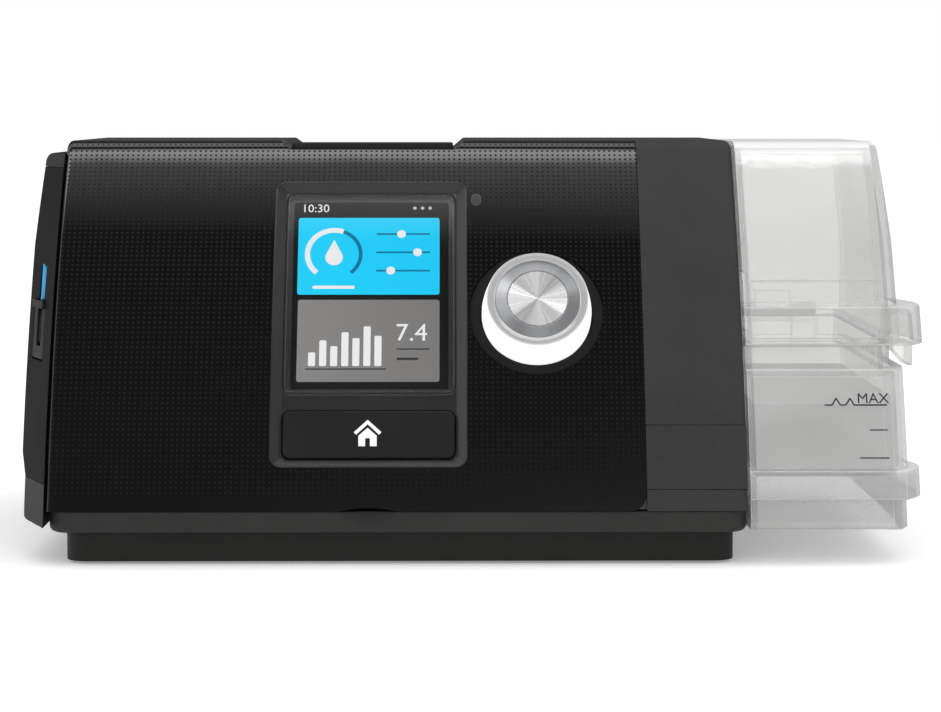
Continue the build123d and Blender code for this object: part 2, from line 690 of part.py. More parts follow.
with BuildPart() as rear_housing:
    add(casing_block(MAIN_LEFT, rear_right, 0, FASCIA_BOTTOM, back_radius=BACK_RADIUS))
    rear_rim = rear_housing.faces().sort_by(Axis.X)[0].edges()
    fillet(rear_rim.filter_by(GeomType.CIRCLE) + rear_rim.sort_by(Axis.Z)[-1:], radius=FASCIA_EDGE)
    add(fascia_hollow, mode=Mode.SUBTRACT)
    add(channel_slab(FASCIA_BACK, BACK_Y))
    with BuildSketch(back_face):
        with Locations(filter_mid):
            Rectangle(FILTER_WIDTH + 2 * DOOR_LAND, FILTER_HEIGHT + 2 * DOOR_LAND)
    extrude(amount=DOOR_FRAME)
    with BuildSketch(back_face):
        with Locations((INLET_X, INLET_Z)):
            Rectangle(2 * (pocket_half[0] + WALL), 2 * (pocket_half[1] + WALL))
    extrude(amount=pocket_depth + WALL)
    with BuildSketch(back_face):
        with Locations((OUTLET_X, PORT_Z)):
            Circle(CUP_RADIUS + THIN_WALL)
    extrude(amount=CUP_DEPTH + THIN_WALL)
    add(box_between((-DEEP, DEEP), (-DEEP, FASCIA_BACK + SEAM), (-DEEP, DEEP)), mode=Mode.SUBTRACT)
    add(channel_tool(FASCIA_BACK, BACK_Y + 5), mode=Mode.SUBTRACT)
    with BuildSketch(back_face):
        with Locations(filter_mid):
            Rectangle(FILTER_WIDTH, FILTER_HEIGHT)
        with Locations((INLET_X, INLET_Z)):
            Rectangle(INLET_WIDTH + 2 * PLACE, INLET_HEIGHT + 2 * PLACE)
        with Locations((OUTLET_X, PORT_Z)):
            Circle(DUCT_RADIUS + PLACE)
    extrude(amount=2 * CUP_DEPTH, mode=Mode.SUBTRACT)
    with BuildSketch(back_face):
        with Locations((INLET_X, INLET_Z)):
            Rectangle(2 * pocket_half[0], 2 * pocket_half[1])
    extrude(amount=pocket_depth, mode=Mode.SUBTRACT)
    with BuildSketch(back_face):
        with Locations((OUTLET_X, PORT_Z)):
            Circle(CUP_RADIUS)
    extrude(amount=CUP_DEPTH, mode=Mode.SUBTRACT)
    with BuildSketch(Plane.XY.offset(FILTER_Z)):
        with Locations(filter_axis):
            Circle(PINTLE_R + PIN_FIT)
    extrude(amount=FILTER_HEIGHT / 2 + PINTLE_LENGTH + PLACE, both=True, mode=Mode.SUBTRACT)
    filter_relief = (
        (FILTER_X + 1, BACK_Y - DOOR_RELIEF - 1),
        (FILTER_X + 1, BACK_Y + 1),
        (FILTER_X - DOOR_RELIEF - 1, BACK_Y + 1),
    )
    add(
        plan_prism(filter_relief, FILTER_Z - FILTER_HEIGHT / 2, FILTER_Z + FILTER_HEIGHT / 2),
        mode=Mode.SUBTRACT,
    )
    clip_bore = clip_reach + PLACE
    add(
        bar_x(INLET_X - clip_bore, INLET_X + clip_bore, clip_axis_y, clip_axis_z, PINTLE_R + PIN_FIT),
        mode=Mode.SUBTRACT,
    )

# Matte band over the bay, with the plate area low on its front
band_left = FASCIA_RIGHT + SEAM
band_width = MAIN_RIGHT - band_left
PLATE_THICK = 1.0
BAND_EDGE = 2.0             # rounding of the band's upper right edge
with BuildPart() as bay_cover:
    add(casing_block(band_left, MAIN_RIGHT, 0, FASCIA_BOTTOM, back_radius=BACK_RADIUS))
    rounded = bay_cover.faces().sort_by(Axis.X)[-1].edges()
    fillet(rounded.filter_by(GeomType.CIRCLE) + rounded.sort_by(Axis.Z)[-1:], radius=BAND_EDGE)
    add(
        casing_block(band_left - 1, MAIN_RIGHT + 1, WALL, FASCIA_BOTTOM - 1, back_radius=BACK_RADIUS),
        mode=Mode.SUBTRACT,
    )
    extrude(
        front_band(band_left - 1, PLATE_LOW, PLATE_HIGH, -1.0, PLATE_THICK + PLACE),
        amount=band_width + 2,
        mode=Mode.SUBTRACT,
    )

with BuildPart() as name_plate_panel:
    extrude(front_band(band_left, PLATE_LOW + SEAM, PLATE_HIGH - SEAM, 0, PLATE_THICK), amount=band_width)

# ---------------------------------------------------------------- left side
cover_foot = COVER_THICK * bevel_length / CHEEK_SLANT
FLAT_RAMP = (6.0, 22.0)     # run of the ramp at the side cover's lower and upper end
CHEEK_ROUND = 3.0
CHEEK_FOOT_ROUND = 1.4      # rounding of the side housing's lower end
adapter_axis = (COVER_LEFT + DOOR_THICK / 2, ADAPTER_Y + FIT + DOOR_THICK / 2)
adapter_mid = (ADAPTER_Y + ADAPTER_WIDTH / 2, ADAPTER_Z)


def cheek_block(left, low, high, step_back, back):
    """Solid outside the casing's left edge: a bevel that sweeps out and back, then a flat."""
    out = cheek_right - left
    with BuildPart() as block:
        section = Pos(0, step_back, 0) * body_section(cheek_right, 0, low, high, back=DEEP)
        extrude(section, amount=out * bevel_length / CHEEK_SLANT, dir=(-CHEEK_SLANT, 1, 0))
        add(box_between((-DEEP, DEEP), (-DEEP, back), (-DEEP, DEEP)), mode=Mode.INTERSECT)
    return block.part


def side_outline(left, low, high, runs, drop):
    """Prism along Y whose outer face ramps in near its lower and upper ends."""
    with BuildPart() as prism:
        with BuildSketch(Plane.XZ):
            with BuildLine():
                Polyline(
                    (cheek_right + 1, low),
                    (left + drop, low),
                    (left, low + runs[0]),
                    (left, high - runs[1]),
                    (left + drop, high),
                    (cheek_right + 1, high),
                    close=True,
                )
            make_face()
        extrude(amount=DEEP, both=True)
    return prism.part


# Local frame on the bevel: x forwards along it to the casing's edge, y up the slope, z out of it
slot_s = (SLOT_BOTTOM_S + FLAP_TOP_S) / 2
slot_y, slot_z = front_point(slot_s)
out_dir = Vector(-CHEEK_SLANT, 1, 0) * (1 / bevel_length)
up_dir = Vector(0, sin(lean(slot_s)), cos(lean(slot_s)))
face_dir = up_dir.cross(out_dir)
face_dir = face_dir * (-1 if face_dir.Y > 0 else 1) * (1 / face_dir.length)
rise_dir = out_dir.cross(face_dir)
shear = up_dir.dot(out_dir) / up_dir.dot(rise_dir)
climb = up_dir.dot(rise_dir)


def bevel_plane(s, reach=0.0, depth=0.0):
    """Plane on the bevel, reach along it from the casing's edge, at arc length s of its foot."""
    y, z = front_point(s)
    origin = Vector(cheek_right, y, z) + out_dir * reach - face_dir * depth
    return Plane(origin=origin, x_dir=out_dir * -1, z_dir=face_dir)


def bevel_patch(low_s, high_s, inner, outer, top, bottom, margin=0.0):
    """Block on the bevel between two reaches, from top to bottom below its face."""
    height = (high_s - low_s) * climb + 2 * margin
    lean_over = shear * height
    with BuildPart() as patch:
        with BuildSketch(bevel_plane(low_s, 0, bottom)):
            with BuildLine():
                Polyline(
                    (margin - inner, -margin),
                    (-margin - outer, -margin),
                    (-margin - outer - lean_over, height - margin),
                    (margin - inner - lean_over, height - margin),
                    close=True,
                )
            make_face()
        extrude(amount=bottom - top)
    return patch.part


flap_in = card_reach - FLAP_WIDTH / 2
flap_out = card_reach + FLAP_WIDTH / 2


def flap_point(reach):
    """Point of the card door's hinge line, at a reach along the bevel."""
    foot = bevel_plane(SLOT_BOTTOM_S, 0, FLAP_THICK / 2).origin
    return tuple(foot + out_dir * (reach + shear * FLAP_THICK / 2) + rise_dir * (FLAP_THICK / 2))


# Side cover: bevel and flat, with the card slot, a scoop and the adapter opening
cover_back = CHEEK_BACK - 2.0
flap_bore = FLAP_PIN_LENGTH + FIT
with BuildPart() as side_cover:
    add(cheek_block(COVER_LEFT, COVER_LOW, COVER_HIGH, 0, cover_back))
    add(
        side_outline(COVER_LEFT, COVER_LOW, COVER_HIGH, FLAT_RAMP, COVER_OUT - CHEEK_OUT),
        mode=Mode.INTERSECT,
    )
    cover_back_edge = side_cover.faces().sort_by(Axis.Y)[-1].edges().sort_by(Axis.X)[0]
    fillet(cover_back_edge, radius=CHEEK_ROUND / 2)
    add(
        cheek_block(COVER_LEFT + COVER_THICK, COVER_LOW - 1, COVER_HIGH + 1, cover_foot, DEEP),
        mode=Mode.SUBTRACT,
    )
    add(
        box_between(
            (COVER_LEFT + COVER_THICK / 2, COVER_LEFT + DOOR_FRAME),
            (ADAPTER_Y - DOOR_LAND, ADAPTER_Y + ADAPTER_WIDTH + DOOR_LAND),
            (ADAPTER_Z - ADAPTER_HEIGHT / 2 - DOOR_LAND, ADAPTER_Z + ADAPTER_HEIGHT / 2 + DOOR_LAND),
        )
    )
    add(
        box_between(
            (COVER_LEFT - 1, COVER_LEFT + DOOR_FRAME + 1),
            (ADAPTER_Y, ADAPTER_Y + ADAPTER_WIDTH),
            (ADAPTER_Z - ADAPTER_HEIGHT / 2, ADAPTER_Z + ADAPTER_HEIGHT / 2),
        ),
        mode=Mode.SUBTRACT,
    )
    with BuildSketch(Plane.XY.offset(ADAPTER_Z)):
        with Locations(adapter_axis):
            Circle(PINTLE_R + PIN_FIT)
    extrude(amount=ADAPTER_HEIGHT / 2 + PINTLE_LENGTH + PLACE, both=True, mode=Mode.SUBTRACT)
    adapter_relief = (
        (COVER_LEFT - 1, ADAPTER_Y - DOOR_RELIEF - 1),
        (COVER_LEFT + DOOR_RELIEF + 1, ADAPTER_Y + 1),
        (COVER_LEFT - 1, ADAPTER_Y + 1),
    )
    add(
        plan_prism(adapter_relief, ADAPTER_Z - ADAPTER_HEIGHT / 2, ADAPTER_Z + ADAPTER_HEIGHT / 2),
        mode=Mode.SUBTRACT,
    )
    add(card_hole, mode=Mode.SUBTRACT)
    add(
        bevel_patch(SCOOP_BOTTOM_S, CARD_TOP_S, card_in - SCOOP_REACH, card_reach, -1, 2 * COVER_THICK),
        mode=Mode.SUBTRACT,
    )
    add(
        bevel_patch(SLOT_BOTTOM_S, FLAP_TOP_S, flap_in, flap_out, -1, 2 * COVER_THICK, margin=FIT),
        mode=Mode.SUBTRACT,
    )
    add(
        rod(flap_point(flap_in - flap_bore), flap_point(flap_out + flap_bore), FLAP_PIN + PIN_FIT),
        mode=Mode.SUBTRACT,
    )

# Card door: a small flap with a finger tab and a slit, hinged along its lower edge
with BuildPart() as sd_door:
    add(bevel_patch(SLOT_BOTTOM_S + FLAP_THICK / 2 / climb, FLAP_TOP_S, flap_in, flap_out, 0, FLAP_THICK))
    add(bevel_patch(FLAP_TOP_S - TAB_RISE, FLAP_TOP_S, flap_in, flap_out, -TAB_PROUD, FLAP_THICK / 2))
    add(
        bevel_patch(
            CARD_TOP_S - CARD_WIDTH - 1,
            FLAP_TOP_S + 1,
            card_in - 4 * FIT,
            card_out + 2 * FIT,
            TAB_SKIN - TAB_PROUD,
            2 * FLAP_THICK,
        ),
        mode=Mode.SUBTRACT,
    )
    add(rod(flap_point(flap_in + FIT), flap_point(flap_out - FIT), FLAP_THICK / 2))
    add(rod(flap_point(flap_in - FLAP_PIN_LENGTH), flap_point(flap_out + FLAP_PIN_LENGTH), FLAP_PIN))

# Memory card, and its socket on the back of the main board
CARD_CHAMFER = 1.2
SOCKET_WALL = 0.5
with BuildPart() as sd_card:
    add(card_block(card_left, card_left + CARD_LENGTH, CARD_WIDTH, CARD_SINK, CARD_THICK))
    card_corners = sd_card.edges().filter_by(Axis((0, 0, 0), tuple(card_dir))).sort_by(Axis.X)[-2:]
    chamfer(card_corners, length=CARD_CHAMFER)

socket_left = BOARD_LEFT + WALL
socket_right = card_left + CARD_LENGTH + CARD_PRESS + FIT + SOCKET_WALL
with BuildPart() as card_socket:
    add(
        card_block(
            socket_left,
            socket_right,
            CARD_WIDTH + 2 * (PLACE + SOCKET_WALL),
            BOARD_SINK + BOARD_THICK,
            CARD_SINK - BOARD_SINK - BOARD_THICK + CARD_THICK + PLACE + SOCKET_WALL,
        )
    )
    add(
        card_block(
            socket_left - 1,
            socket_right - SOCKET_WALL,
            CARD_WIDTH + 2 * PLACE,
            CARD_SINK - PLACE,
            CARD_THICK + 2 * PLACE,
        ),
        mode=Mode.SUBTRACT,
    )

# Side housing: the end caps above and below the side cover, and the wall behind it
plate_left = cheek_right - THIN_WALL
cap_low_top = COVER_LOW - SEAM
cap_high_low = COVER_HIGH + SEAM
with BuildPart() as side_housing:
    add(cheek_block(CHEEK_LEFT, CHEEK_LOW, cap_low_top, 0, CHEEK_BACK))
    add(cheek_block(CHEEK_LEFT, cap_high_low, CHEEK_HIGH, 0, CHEEK_BACK))
    with BuildSketch(Plane.XZ) as housing_outline:
        with Locations((CHEEK_LEFT, CHEEK_HIGH)):
            Rectangle(2 * CHEEK_OUT, CHEEK_HIGH - CHEEK_LOW, align=(Align.MIN, Align.MAX))
        fillet(housing_outline.vertices().group_by(Axis.Y)[0].sort_by(Axis.X)[0], radius=CHEEK_FOOT_ROUND)
        fillet(housing_outline.vertices().group_by(Axis.Y)[-1].sort_by(Axis.X)[0], radius=CHEEK_ROUND)
    extrude(amount=DEEP, both=True, mode=Mode.INTERSECT)
    add(
        cheek_block(CHEEK_LEFT + WALL, CHEEK_LOW + WALL, cap_low_top - WALL, cover_foot, CHEEK_BACK - WALL),
        mode=Mode.SUBTRACT,
    )
    add(cheek_block(plate_left, CHEEK_LOW + 1, CHEEK_HIGH - 1, cover_foot + FIT, CHEEK_BACK))
    add(
        box_between(
            (CHEEK_LEFT + CHEEK_ROUND, cheek_right),
            (cover_back + SEAM, CHEEK_BACK),
            (CHEEK_LOW + 1, CHEEK_HIGH - 1),
        )
    )
    add(card_hole, mode=Mode.SUBTRACT)

# ---------------------------------------------------------------- screen and home button
bevel_end = 2.7             # bevel width above and below the opening
FRAME_RIM = 0.3
floor_low = FRAME_LOW + bevel_end
floor_high = FRAME_HIGH - bevel_end
floor_width = FRAME_WIDTH - 2 * BEVEL_SIDE
FLOOR_CORNER = 1.6
GLASS_GAP = 0.5
ledge_depth = GLASS_SINK + GLASS_THICK
rim_width = FRAME_WIDTH - 2 * FRAME_RIM
bevel_rise = (floor_low - FRAME_LOW - FRAME_RIM) / BEVEL_DEPTH
side_rise = (rim_width - floor_width) / 2 / BEVEL_DEPTH
with BuildPart() as bevel_ends:
    with BuildSketch(Plane.YZ.offset(CHANNEL_X - FRAME_WIDTH)):
        with BuildLine():
            floor_start = front_point(floor_low, BEVEL_DEPTH)
            floor_end = front_point(floor_high, BEVEL_DEPTH)
            over_start = front_point(floor_low - bevel_rise * (BEVEL_DEPTH + 1), -1)
            over_end = front_point(floor_high + bevel_rise * (BEVEL_DEPTH + 1), -1)
            ThreePointArc(floor_start, front_point(FRAME_MID, BEVEL_DEPTH), floor_end)
            Line(floor_end, over_end)
            ThreePointArc(over_end, front_point(FRAME_MID, -1), over_start)
            Line(over_start, floor_start)
        make_face()
    extrude(amount=2 * FRAME_WIDTH)

frame_start = lean(FRAME_LOW - 5)
frame_turn = degrees(lean(FRAME_HIGH + 5) - frame_start)
with BuildPart() as bevel_sides:
    with BuildSketch(
        Plane(
            origin=(CHANNEL_X, ARC_Y, ARC_Z),
            x_dir=(1, 0, 0),
            z_dir=(0, -sin(frame_start), -cos(frame_start)),
        )
    ):
        with BuildLine():
            half_floor = floor_width / 2
            half_over = half_floor + side_rise * (BEVEL_DEPTH + 1)
            Polyline(
                (-half_floor, FRONT_RADIUS - BEVEL_DEPTH),
                (half_floor, FRONT_RADIUS - BEVEL_DEPTH),
                (half_over, FRONT_RADIUS + 1),
                (-half_over, FRONT_RADIUS + 1),
                close=True,
            )
        make_face()
    revolve(axis=Axis((0, ARC_Y, ARC_Z), (-1, 0, 0)), revolution_arc=frame_turn)

with BuildPart() as screen_frame:
    add(front_pad(CHANNEL_X, FRAME_LOW, FRAME_HIGH, FRAME_WIDTH, FRAME_CORNER, 0, FRAME_DEPTH))
    inside_rim = front_pad(
        CHANNEL_X, FRAME_LOW, FRAME_HIGH, FRAME_WIDTH, FRAME_CORNER, -1, FRAME_DEPTH, margin=-FRAME_RIM
    )
    add(bevel_sides.part & bevel_ends.part & inside_rim, mode=Mode.SUBTRACT)
    add(
        front_pad(
            CHANNEL_X,
            GLASS_LOW,
            GLASS_HIGH,
            GLASS_WIDTH,
            GLASS_CORNER,
            1,
            ledge_depth + PIN_FIT,
            margin=GLASS_GAP,
        ),
        mode=Mode.SUBTRACT,
    )
    add(
        front_pad(
            CHANNEL_X,
            GLASS_LOW + LEDGE,
            GLASS_HIGH - LEDGE,
            GLASS_WIDTH - 2 * LEDGE,
            LEDGE / 4,
            1,
            2 * FRAME_DEPTH,
        ),
        mode=Mode.SUBTRACT,
    )
    add(
        front_pad(CHANNEL_X, HOME_LOW, HOME_HIGH, HOME_WIDTH, HOME_CORNER, 1, 2 * FRAME_DEPTH, margin=FIT),
        mode=Mode.SUBTRACT,
    )

with BuildPart() as screen_glass:
    add(front_pad(CHANNEL_X, GLASS_LOW, GLASS_HIGH, GLASS_WIDTH, GLASS_CORNER, GLASS_SINK, ledge_depth))

home_s = (HOME_LOW + HOME_HIGH) / 2
HOME_EDGE = 0.5
PLUNGER_R = 1.5
SWITCH_SIZE = 6.0
SWITCH_HEIGHT = 1.2
home_switch_top = BOARD_SINK - sag(home_s) - SWITCH_HEIGHT
with BuildPart() as home_button:
    add(front_pad(CHANNEL_X, HOME_LOW, HOME_HIGH, HOME_WIDTH, HOME_CORNER, HOME_SINK, HOME_SINK + HOME_THICK))
    face = home_button.faces().filter_by(GeomType.CYLINDER).sort_by(SortBy.AREA)[-2:].sort_by(Axis.Y)[0]
    fillet(face.edges(), radius=HOME_EDGE)
    with BuildSketch(front_plane(CHANNEL_X, home_s, home_switch_top - HOME_TRAVEL - 2 * PLACE)):
        Circle(PLUNGER_R)
    extrude(amount=home_switch_top - HOME_SINK - HOME_TRAVEL - HOME_EDGE - 1)

with BuildPart() as lcd_module:
    half_l = LCD_WIDTH / 2
    add(board_box(CHANNEL_X - half_l, CHANNEL_X + half_l, LCD_LOW, LCD_HIGH, LCD_SINK, LCD_SINK + LCD_THICK))

with BuildPart() as light_sensor_lens:
    add(
        front_pad(
            SENSOR_X,
            SENSOR_S - SENSOR_HEIGHT / 2,
            SENSOR_S + SENSOR_HEIGHT / 2,
            SENSOR_WIDTH,
            SENSOR_WIDTH / 2.2,
            0,
            WALL,
        )
    )

# Main board, with its components: x from its left edge, arc length, height
CHIPS = (
    ((20.0, 42.0), (20.0, 34.0), 2.0),
    ((92.0, 114.0), (60.0, 80.0), 1.6),
    ((28.0, 46.0), (76.0, 90.0), 4.0),
)
board_back = BOARD_SINK + BOARD_THICK
with BuildPart() as main_pcb:
    add(board_box(BOARD_LEFT, BOARD_RIGHT, BOARD_LOW, BOARD_HIGH, BOARD_SINK, board_back))
    half_s = SWITCH_SIZE / 2
    switch_x = (CHANNEL_X - half_s, CHANNEL_X + half_s)
    add(board_box(*switch_x, home_s - half_s, home_s + half_s, BOARD_SINK - SWITCH_HEIGHT, BOARD_SINK))
    for chip_x, chip_s, chip_tall in CHIPS:
        chip_left, chip_right = BOARD_LEFT + chip_x[0], BOARD_LEFT + chip_x[1]
        add(board_box(chip_left, chip_right, *chip_s, board_back, board_back + chip_tall))

# ---------------------------------------------------------------- dial
SEAT_FACE = 0.75            # face of the seat ring below the tangent plane
SEAT_FLOOR = 3.3
SEAT_BOTTOM = 4.3
SKIRT_DROP = 2.6            # foot of the skirt below the tangent plane
HUB_LOW = 4.6
HUB_TOP = 6.4
CAP_GAP = 0.05
BUSHING_R = 4.5
SHAFT_FOOT = 6.3
PLUNGER_THICK = 0.8
dial_face = front_plane(DIAL_X, DIAL_S)

with BuildPart() as dial_seat_ring:
    with BuildSketch(dial_face.offset(-SEAT_BOTTOM)):
        Circle(SEAT_RADIUS)
        Circle(BUSHING_R + PLACE, mode=Mode.SUBTRACT)
    extrude(amount=SEAT_BOTTOM - SEAT_FACE)
    with BuildSketch(dial_face.offset(-SEAT_FLOOR)):
        Circle(SKIRT_RADIUS + 2 * FIT)
    extrude(amount=SEAT_FLOOR, mode=Mode.SUBTRACT)

with BuildPart() as encoder_body:
    with BuildSketch(dial_face.offset(-BOARD_SINK)):
        Rectangle(ENCODER_SIZE, ENCODER_SIZE)
    extrude(amount=BOARD_SINK - SEAT_BOTTOM - PLACE)
    with BuildSketch(dial_face.offset(-BOARD_SINK)):
        Circle(BUSHING_R)
    extrude(amount=BOARD_SINK - SEAT_FLOOR + 1.5)
    with BuildSketch(dial_face.offset(-SHAFT_FOOT - PLUNGER_THICK - DIAL_TRAVEL - PLACE)):
        Circle(SHAFT_RADIUS + PIN_FIT)
    extrude(amount=BOARD_SINK, mode=Mode.SUBTRACT)

with BuildPart() as encoder_plunger:
    with BuildSketch(dial_face.offset(-SHAFT_FOOT - PLUNGER_THICK)):
        Circle(SHAFT_RADIUS - PIN_FIT)
    extrude(amount=PLUNGER_THICK - PIN_FIT / 2)

with BuildPart() as encoder_shaft:
    with BuildSketch(dial_face.offset(-SHAFT_FOOT)):
        Circle(SHAFT_RADIUS)
    extrude(amount=SHAFT_FOOT + HUB_TOP - CAP_GAP)

RIM_ROUND = 1.3
SKIRT_WALL = 2.0
dial_section = Plane(origin=dial_face.origin, x_dir=(1, 0, 0), z_dir=dial_face.y_dir * -1)
with BuildPart() as dial_light_ring:
    with BuildSketch(dial_section):
        with BuildLine():
            rim_foot = (RIM_RADIUS, KNOB_HEIGHT - RIM_ROUND)
            rim_mid = (
                RIM_RADIUS - RIM_ROUND * (1 - sin(radians(45))),
                KNOB_HEIGHT - RIM_ROUND * (1 - sin(radians(45))),
            )
            Polyline((SKIRT_RADIUS, -SKIRT_DROP), (SKIRT_RADIUS, 0.4))
            ThreePointArc(
                (SKIRT_RADIUS, 0.4),
                ((SKIRT_RADIUS + RIM_RADIUS) / 2 + 0.05, KNOB_HEIGHT / 2),
                rim_foot,
            )
            ThreePointArc(rim_foot, rim_mid, (RIM_RADIUS - RIM_ROUND, KNOB_HEIGHT))
            Polyline(
                (RIM_RADIUS - RIM_ROUND, KNOB_HEIGHT),
                (RING_RADIUS + CAP_GAP, KNOB_HEIGHT - 0.3),
                (RING_RADIUS + CAP_GAP, HUB_TOP),
                (SHAFT_RADIUS, HUB_TOP),
                (SHAFT_RADIUS, HUB_LOW),
                (RIM_RADIUS - SKIRT_WALL, HUB_LOW),
                (SKIRT_RADIUS - SKIRT_WALL, -SKIRT_DROP),
                (SKIRT_RADIUS, -SKIRT_DROP),
            )
        make_face()
    revolve(axis=Axis(dial_face.origin, dial_face.z_dir))

with BuildPart() as dial_cap_ring:
    with BuildSketch(dial_face.offset(HUB_TOP)):
        Circle(RING_RADIUS)
        Circle(DISC_RADIUS + CAP_GAP, mode=Mode.SUBTRACT)
    extrude(amount=KNOB_HEIGHT - 0.4 - HUB_TOP)
    dial_axis = Axis(dial_face.origin, dial_face.z_dir)
    ring_rims = dial_cap_ring.edges().filter_by(GeomType.CIRCLE).sort_by(dial_axis)[-2:]
    chamfer(ring_rims, length=0.25)

with BuildPart() as dial_disc:
    with BuildSketch(dial_face.offset(HUB_TOP)):
        Circle(DISC_RADIUS)
    extrude(amount=KNOB_HEIGHT - 0.3 - HUB_TOP)

# ---------------------------------------------------------------- start button
START_CORNER = 1.6
START_FLANGE = 1.0
START_EDGE = 0.5
LAMP_SIZE = (4.0, 2.4)
LAMP_Y = START_FRONT + 9.3
LAMP_DEEP = 1.0
SWITCH_TALL = 1.5
start_flange_top = channel_floor_low - FIT
start_flange_low = start_flange_top - START_FLANGE
board_thick_small = 1.2
with BuildPart() as start_button:
    with BuildSketch(Plane.XY.offset(start_flange_low)):
        with Locations((CHANNEL_X, start_mid_y)):
            RectangleRounded(START_WIDTH, START_LENGTH, START_CORNER)
    extrude(amount=start_top - start_flange_low)
    fillet(start_button.faces().sort_by(Axis.Z)[-1].edges(), radius=START_EDGE)
    with BuildSketch(Plane.XY.offset(start_flange_low)):
        with Locations((CHANNEL_X, start_mid_y)):
            Rectangle(START_WIDTH + 2 * START_FLANGE, START_LENGTH)
    extrude(amount=START_FLANGE)
    with BuildSketch(Plane.XY.offset(switch_board_top + SWITCH_TALL + START_TRAVEL + PLACE)):
        with Locations((CHANNEL_X, start_mid_y)):
            Circle(PLUNGER_R)
    extrude(amount=start_flange_low + START_EDGE - switch_board_top - SWITCH_TALL - START_TRAVEL)
    with BuildSketch(Plane.XY.offset(start_top - LAMP_DEEP)):
        with Locations((CHANNEL_X, LAMP_Y)):
            RectangleRounded(LAMP_SIZE[0] + 2 * CAP_GAP, LAMP_SIZE[1] + 2 * CAP_GAP, 0.6)
    extrude(amount=2 * LAMP_DEEP, mode=Mode.SUBTRACT)

with BuildPart() as start_led_lens:
    with BuildSketch(Plane.XY.offset(start_top - LAMP_DEEP)):
        with Locations((CHANNEL_X, LAMP_Y)):
            RectangleRounded(*LAMP_SIZE, 0.55)
    extrude(amount=LAMP_DEEP)

with BuildPart() as switch_board:
    with BuildSketch(Plane.XY.offset(switch_board_top - board_thick_small)):
        with Locations((CHANNEL_X, start_mid_y)):
            Rectangle(2 * BOSS_X + 5, START_LENGTH - 2.5)
    extrude(amount=board_thick_small)
    with BuildSketch(Plane.XY.offset(switch_board_top)):
        with Locations((CHANNEL_X, start_mid_y)):
            Rectangle(SWITCH_SIZE, SWITCH_SIZE)
    extrude(amount=SWITCH_TALL)

# ---------------------------------------------------------------- bay and heater
LINER = 1.8
PLATE_X = (BAY_LEFT + 6.0, MAIN_RIGHT - 3.4)    # heater plate in the bay floor
PLATE_Y = (-56.0, 48.0)
PLATE_RISE = 0.4
liner_out = BAY_INSET - LINER
bay_back = BAY_BACK + BAY_INSET
port_spots = (PORT_IN_Y, PORT_OUT_Y)
heater_top = BAY_LOW + PLATE_RISE

with BuildPart() as bay_liner:
    add(
        casing_block(
            BAY_LEFT - LINER, MAIN_RIGHT - LINER / 2, liner_out, BAY_LOW - LINER, BAY_HIGH + LINER, bay_back
        )
    )
    add(
        casing_block(
            MAIN_RIGHT - LINER, MAIN_RIGHT, WALL + PLACE, FASCIA_BOTTOM + PLACE, back_radius=BACK_RADIUS
        )
    )
    add(casing_block(BAY_LEFT, MAIN_RIGHT + 1, BAY_INSET, BAY_LOW, BAY_HIGH, bay_back), mode=Mode.SUBTRACT)
    for port_y in port_spots:
        add(
            bar_x(BAY_LEFT - 2 * LINER, BAY_LEFT + 1, port_y, PORT_Z, DUCT_RADIUS + PLACE),
            mode=Mode.SUBTRACT,
        )
    add(
        box_between(
            (PLATE_X[0] - PLACE, PLATE_X[1] + PLACE),
            (PLATE_Y[0] - PLACE, PLATE_Y[1] + PLACE),
            (BAY_LOW - 2 * LINER, BAY_LOW + 1),
        ),
        mode=Mode.SUBTRACT,
    )

with BuildPart() as heater_plate:
    add(box_between(PLATE_X, PLATE_Y, (heater_top - HEATER_THICK, heater_top)))

with BuildPart() as heater_pad:
    pad_top = heater_top - HEATER_THICK
    add(
        box_between(
            (PLATE_X[0] + 5, PLATE_X[1] - 2), (PLATE_Y[0] + 5, PLATE_Y[1] - 2), (pad_top - HEATER_PAD, pad_top)
        )
    )

with BuildPart() as dock_air_seals:
    for port_y in port_spots:
        with BuildSketch(Plane.YZ.offset(BAY_LEFT)):
            with Locations((port_y, PORT_Z)):
                Circle(DUCT_RADIUS + LINER)
                Circle(PORT_RADIUS, mode=Mode.SUBTRACT)
        extrude(amount=DOCK_LEFT - BAY_LEFT - FIT)

# ---------------------------------------------------------------- tub
SWEEP_STEPS = 3
SWEEP_START = 46.0          # heading of the side just behind the front edge, degrees
NECK_WALL = 1.6
RESERVOIR_FLOOR = 24.0
FOOT_CORNER = 2.2
dock_inset = BAY_INSET + DOCK_CLEAR
dock_back = BAY_BACK - DOCK_CLEAR + dock_inset
tub_inner_left = TUB_LEFT + TUB_WALL
neck_inset = TUB_INSET + NECK_INSET
DOCK_LOW = heater_top + PLACE + CONTACT_THICK   # underside of the docked half, on its contact plate
wall_right = TUB_RIGHT + WALL_SPREAD
foot_right = TUB_RIGHT + FOOT_SPREAD


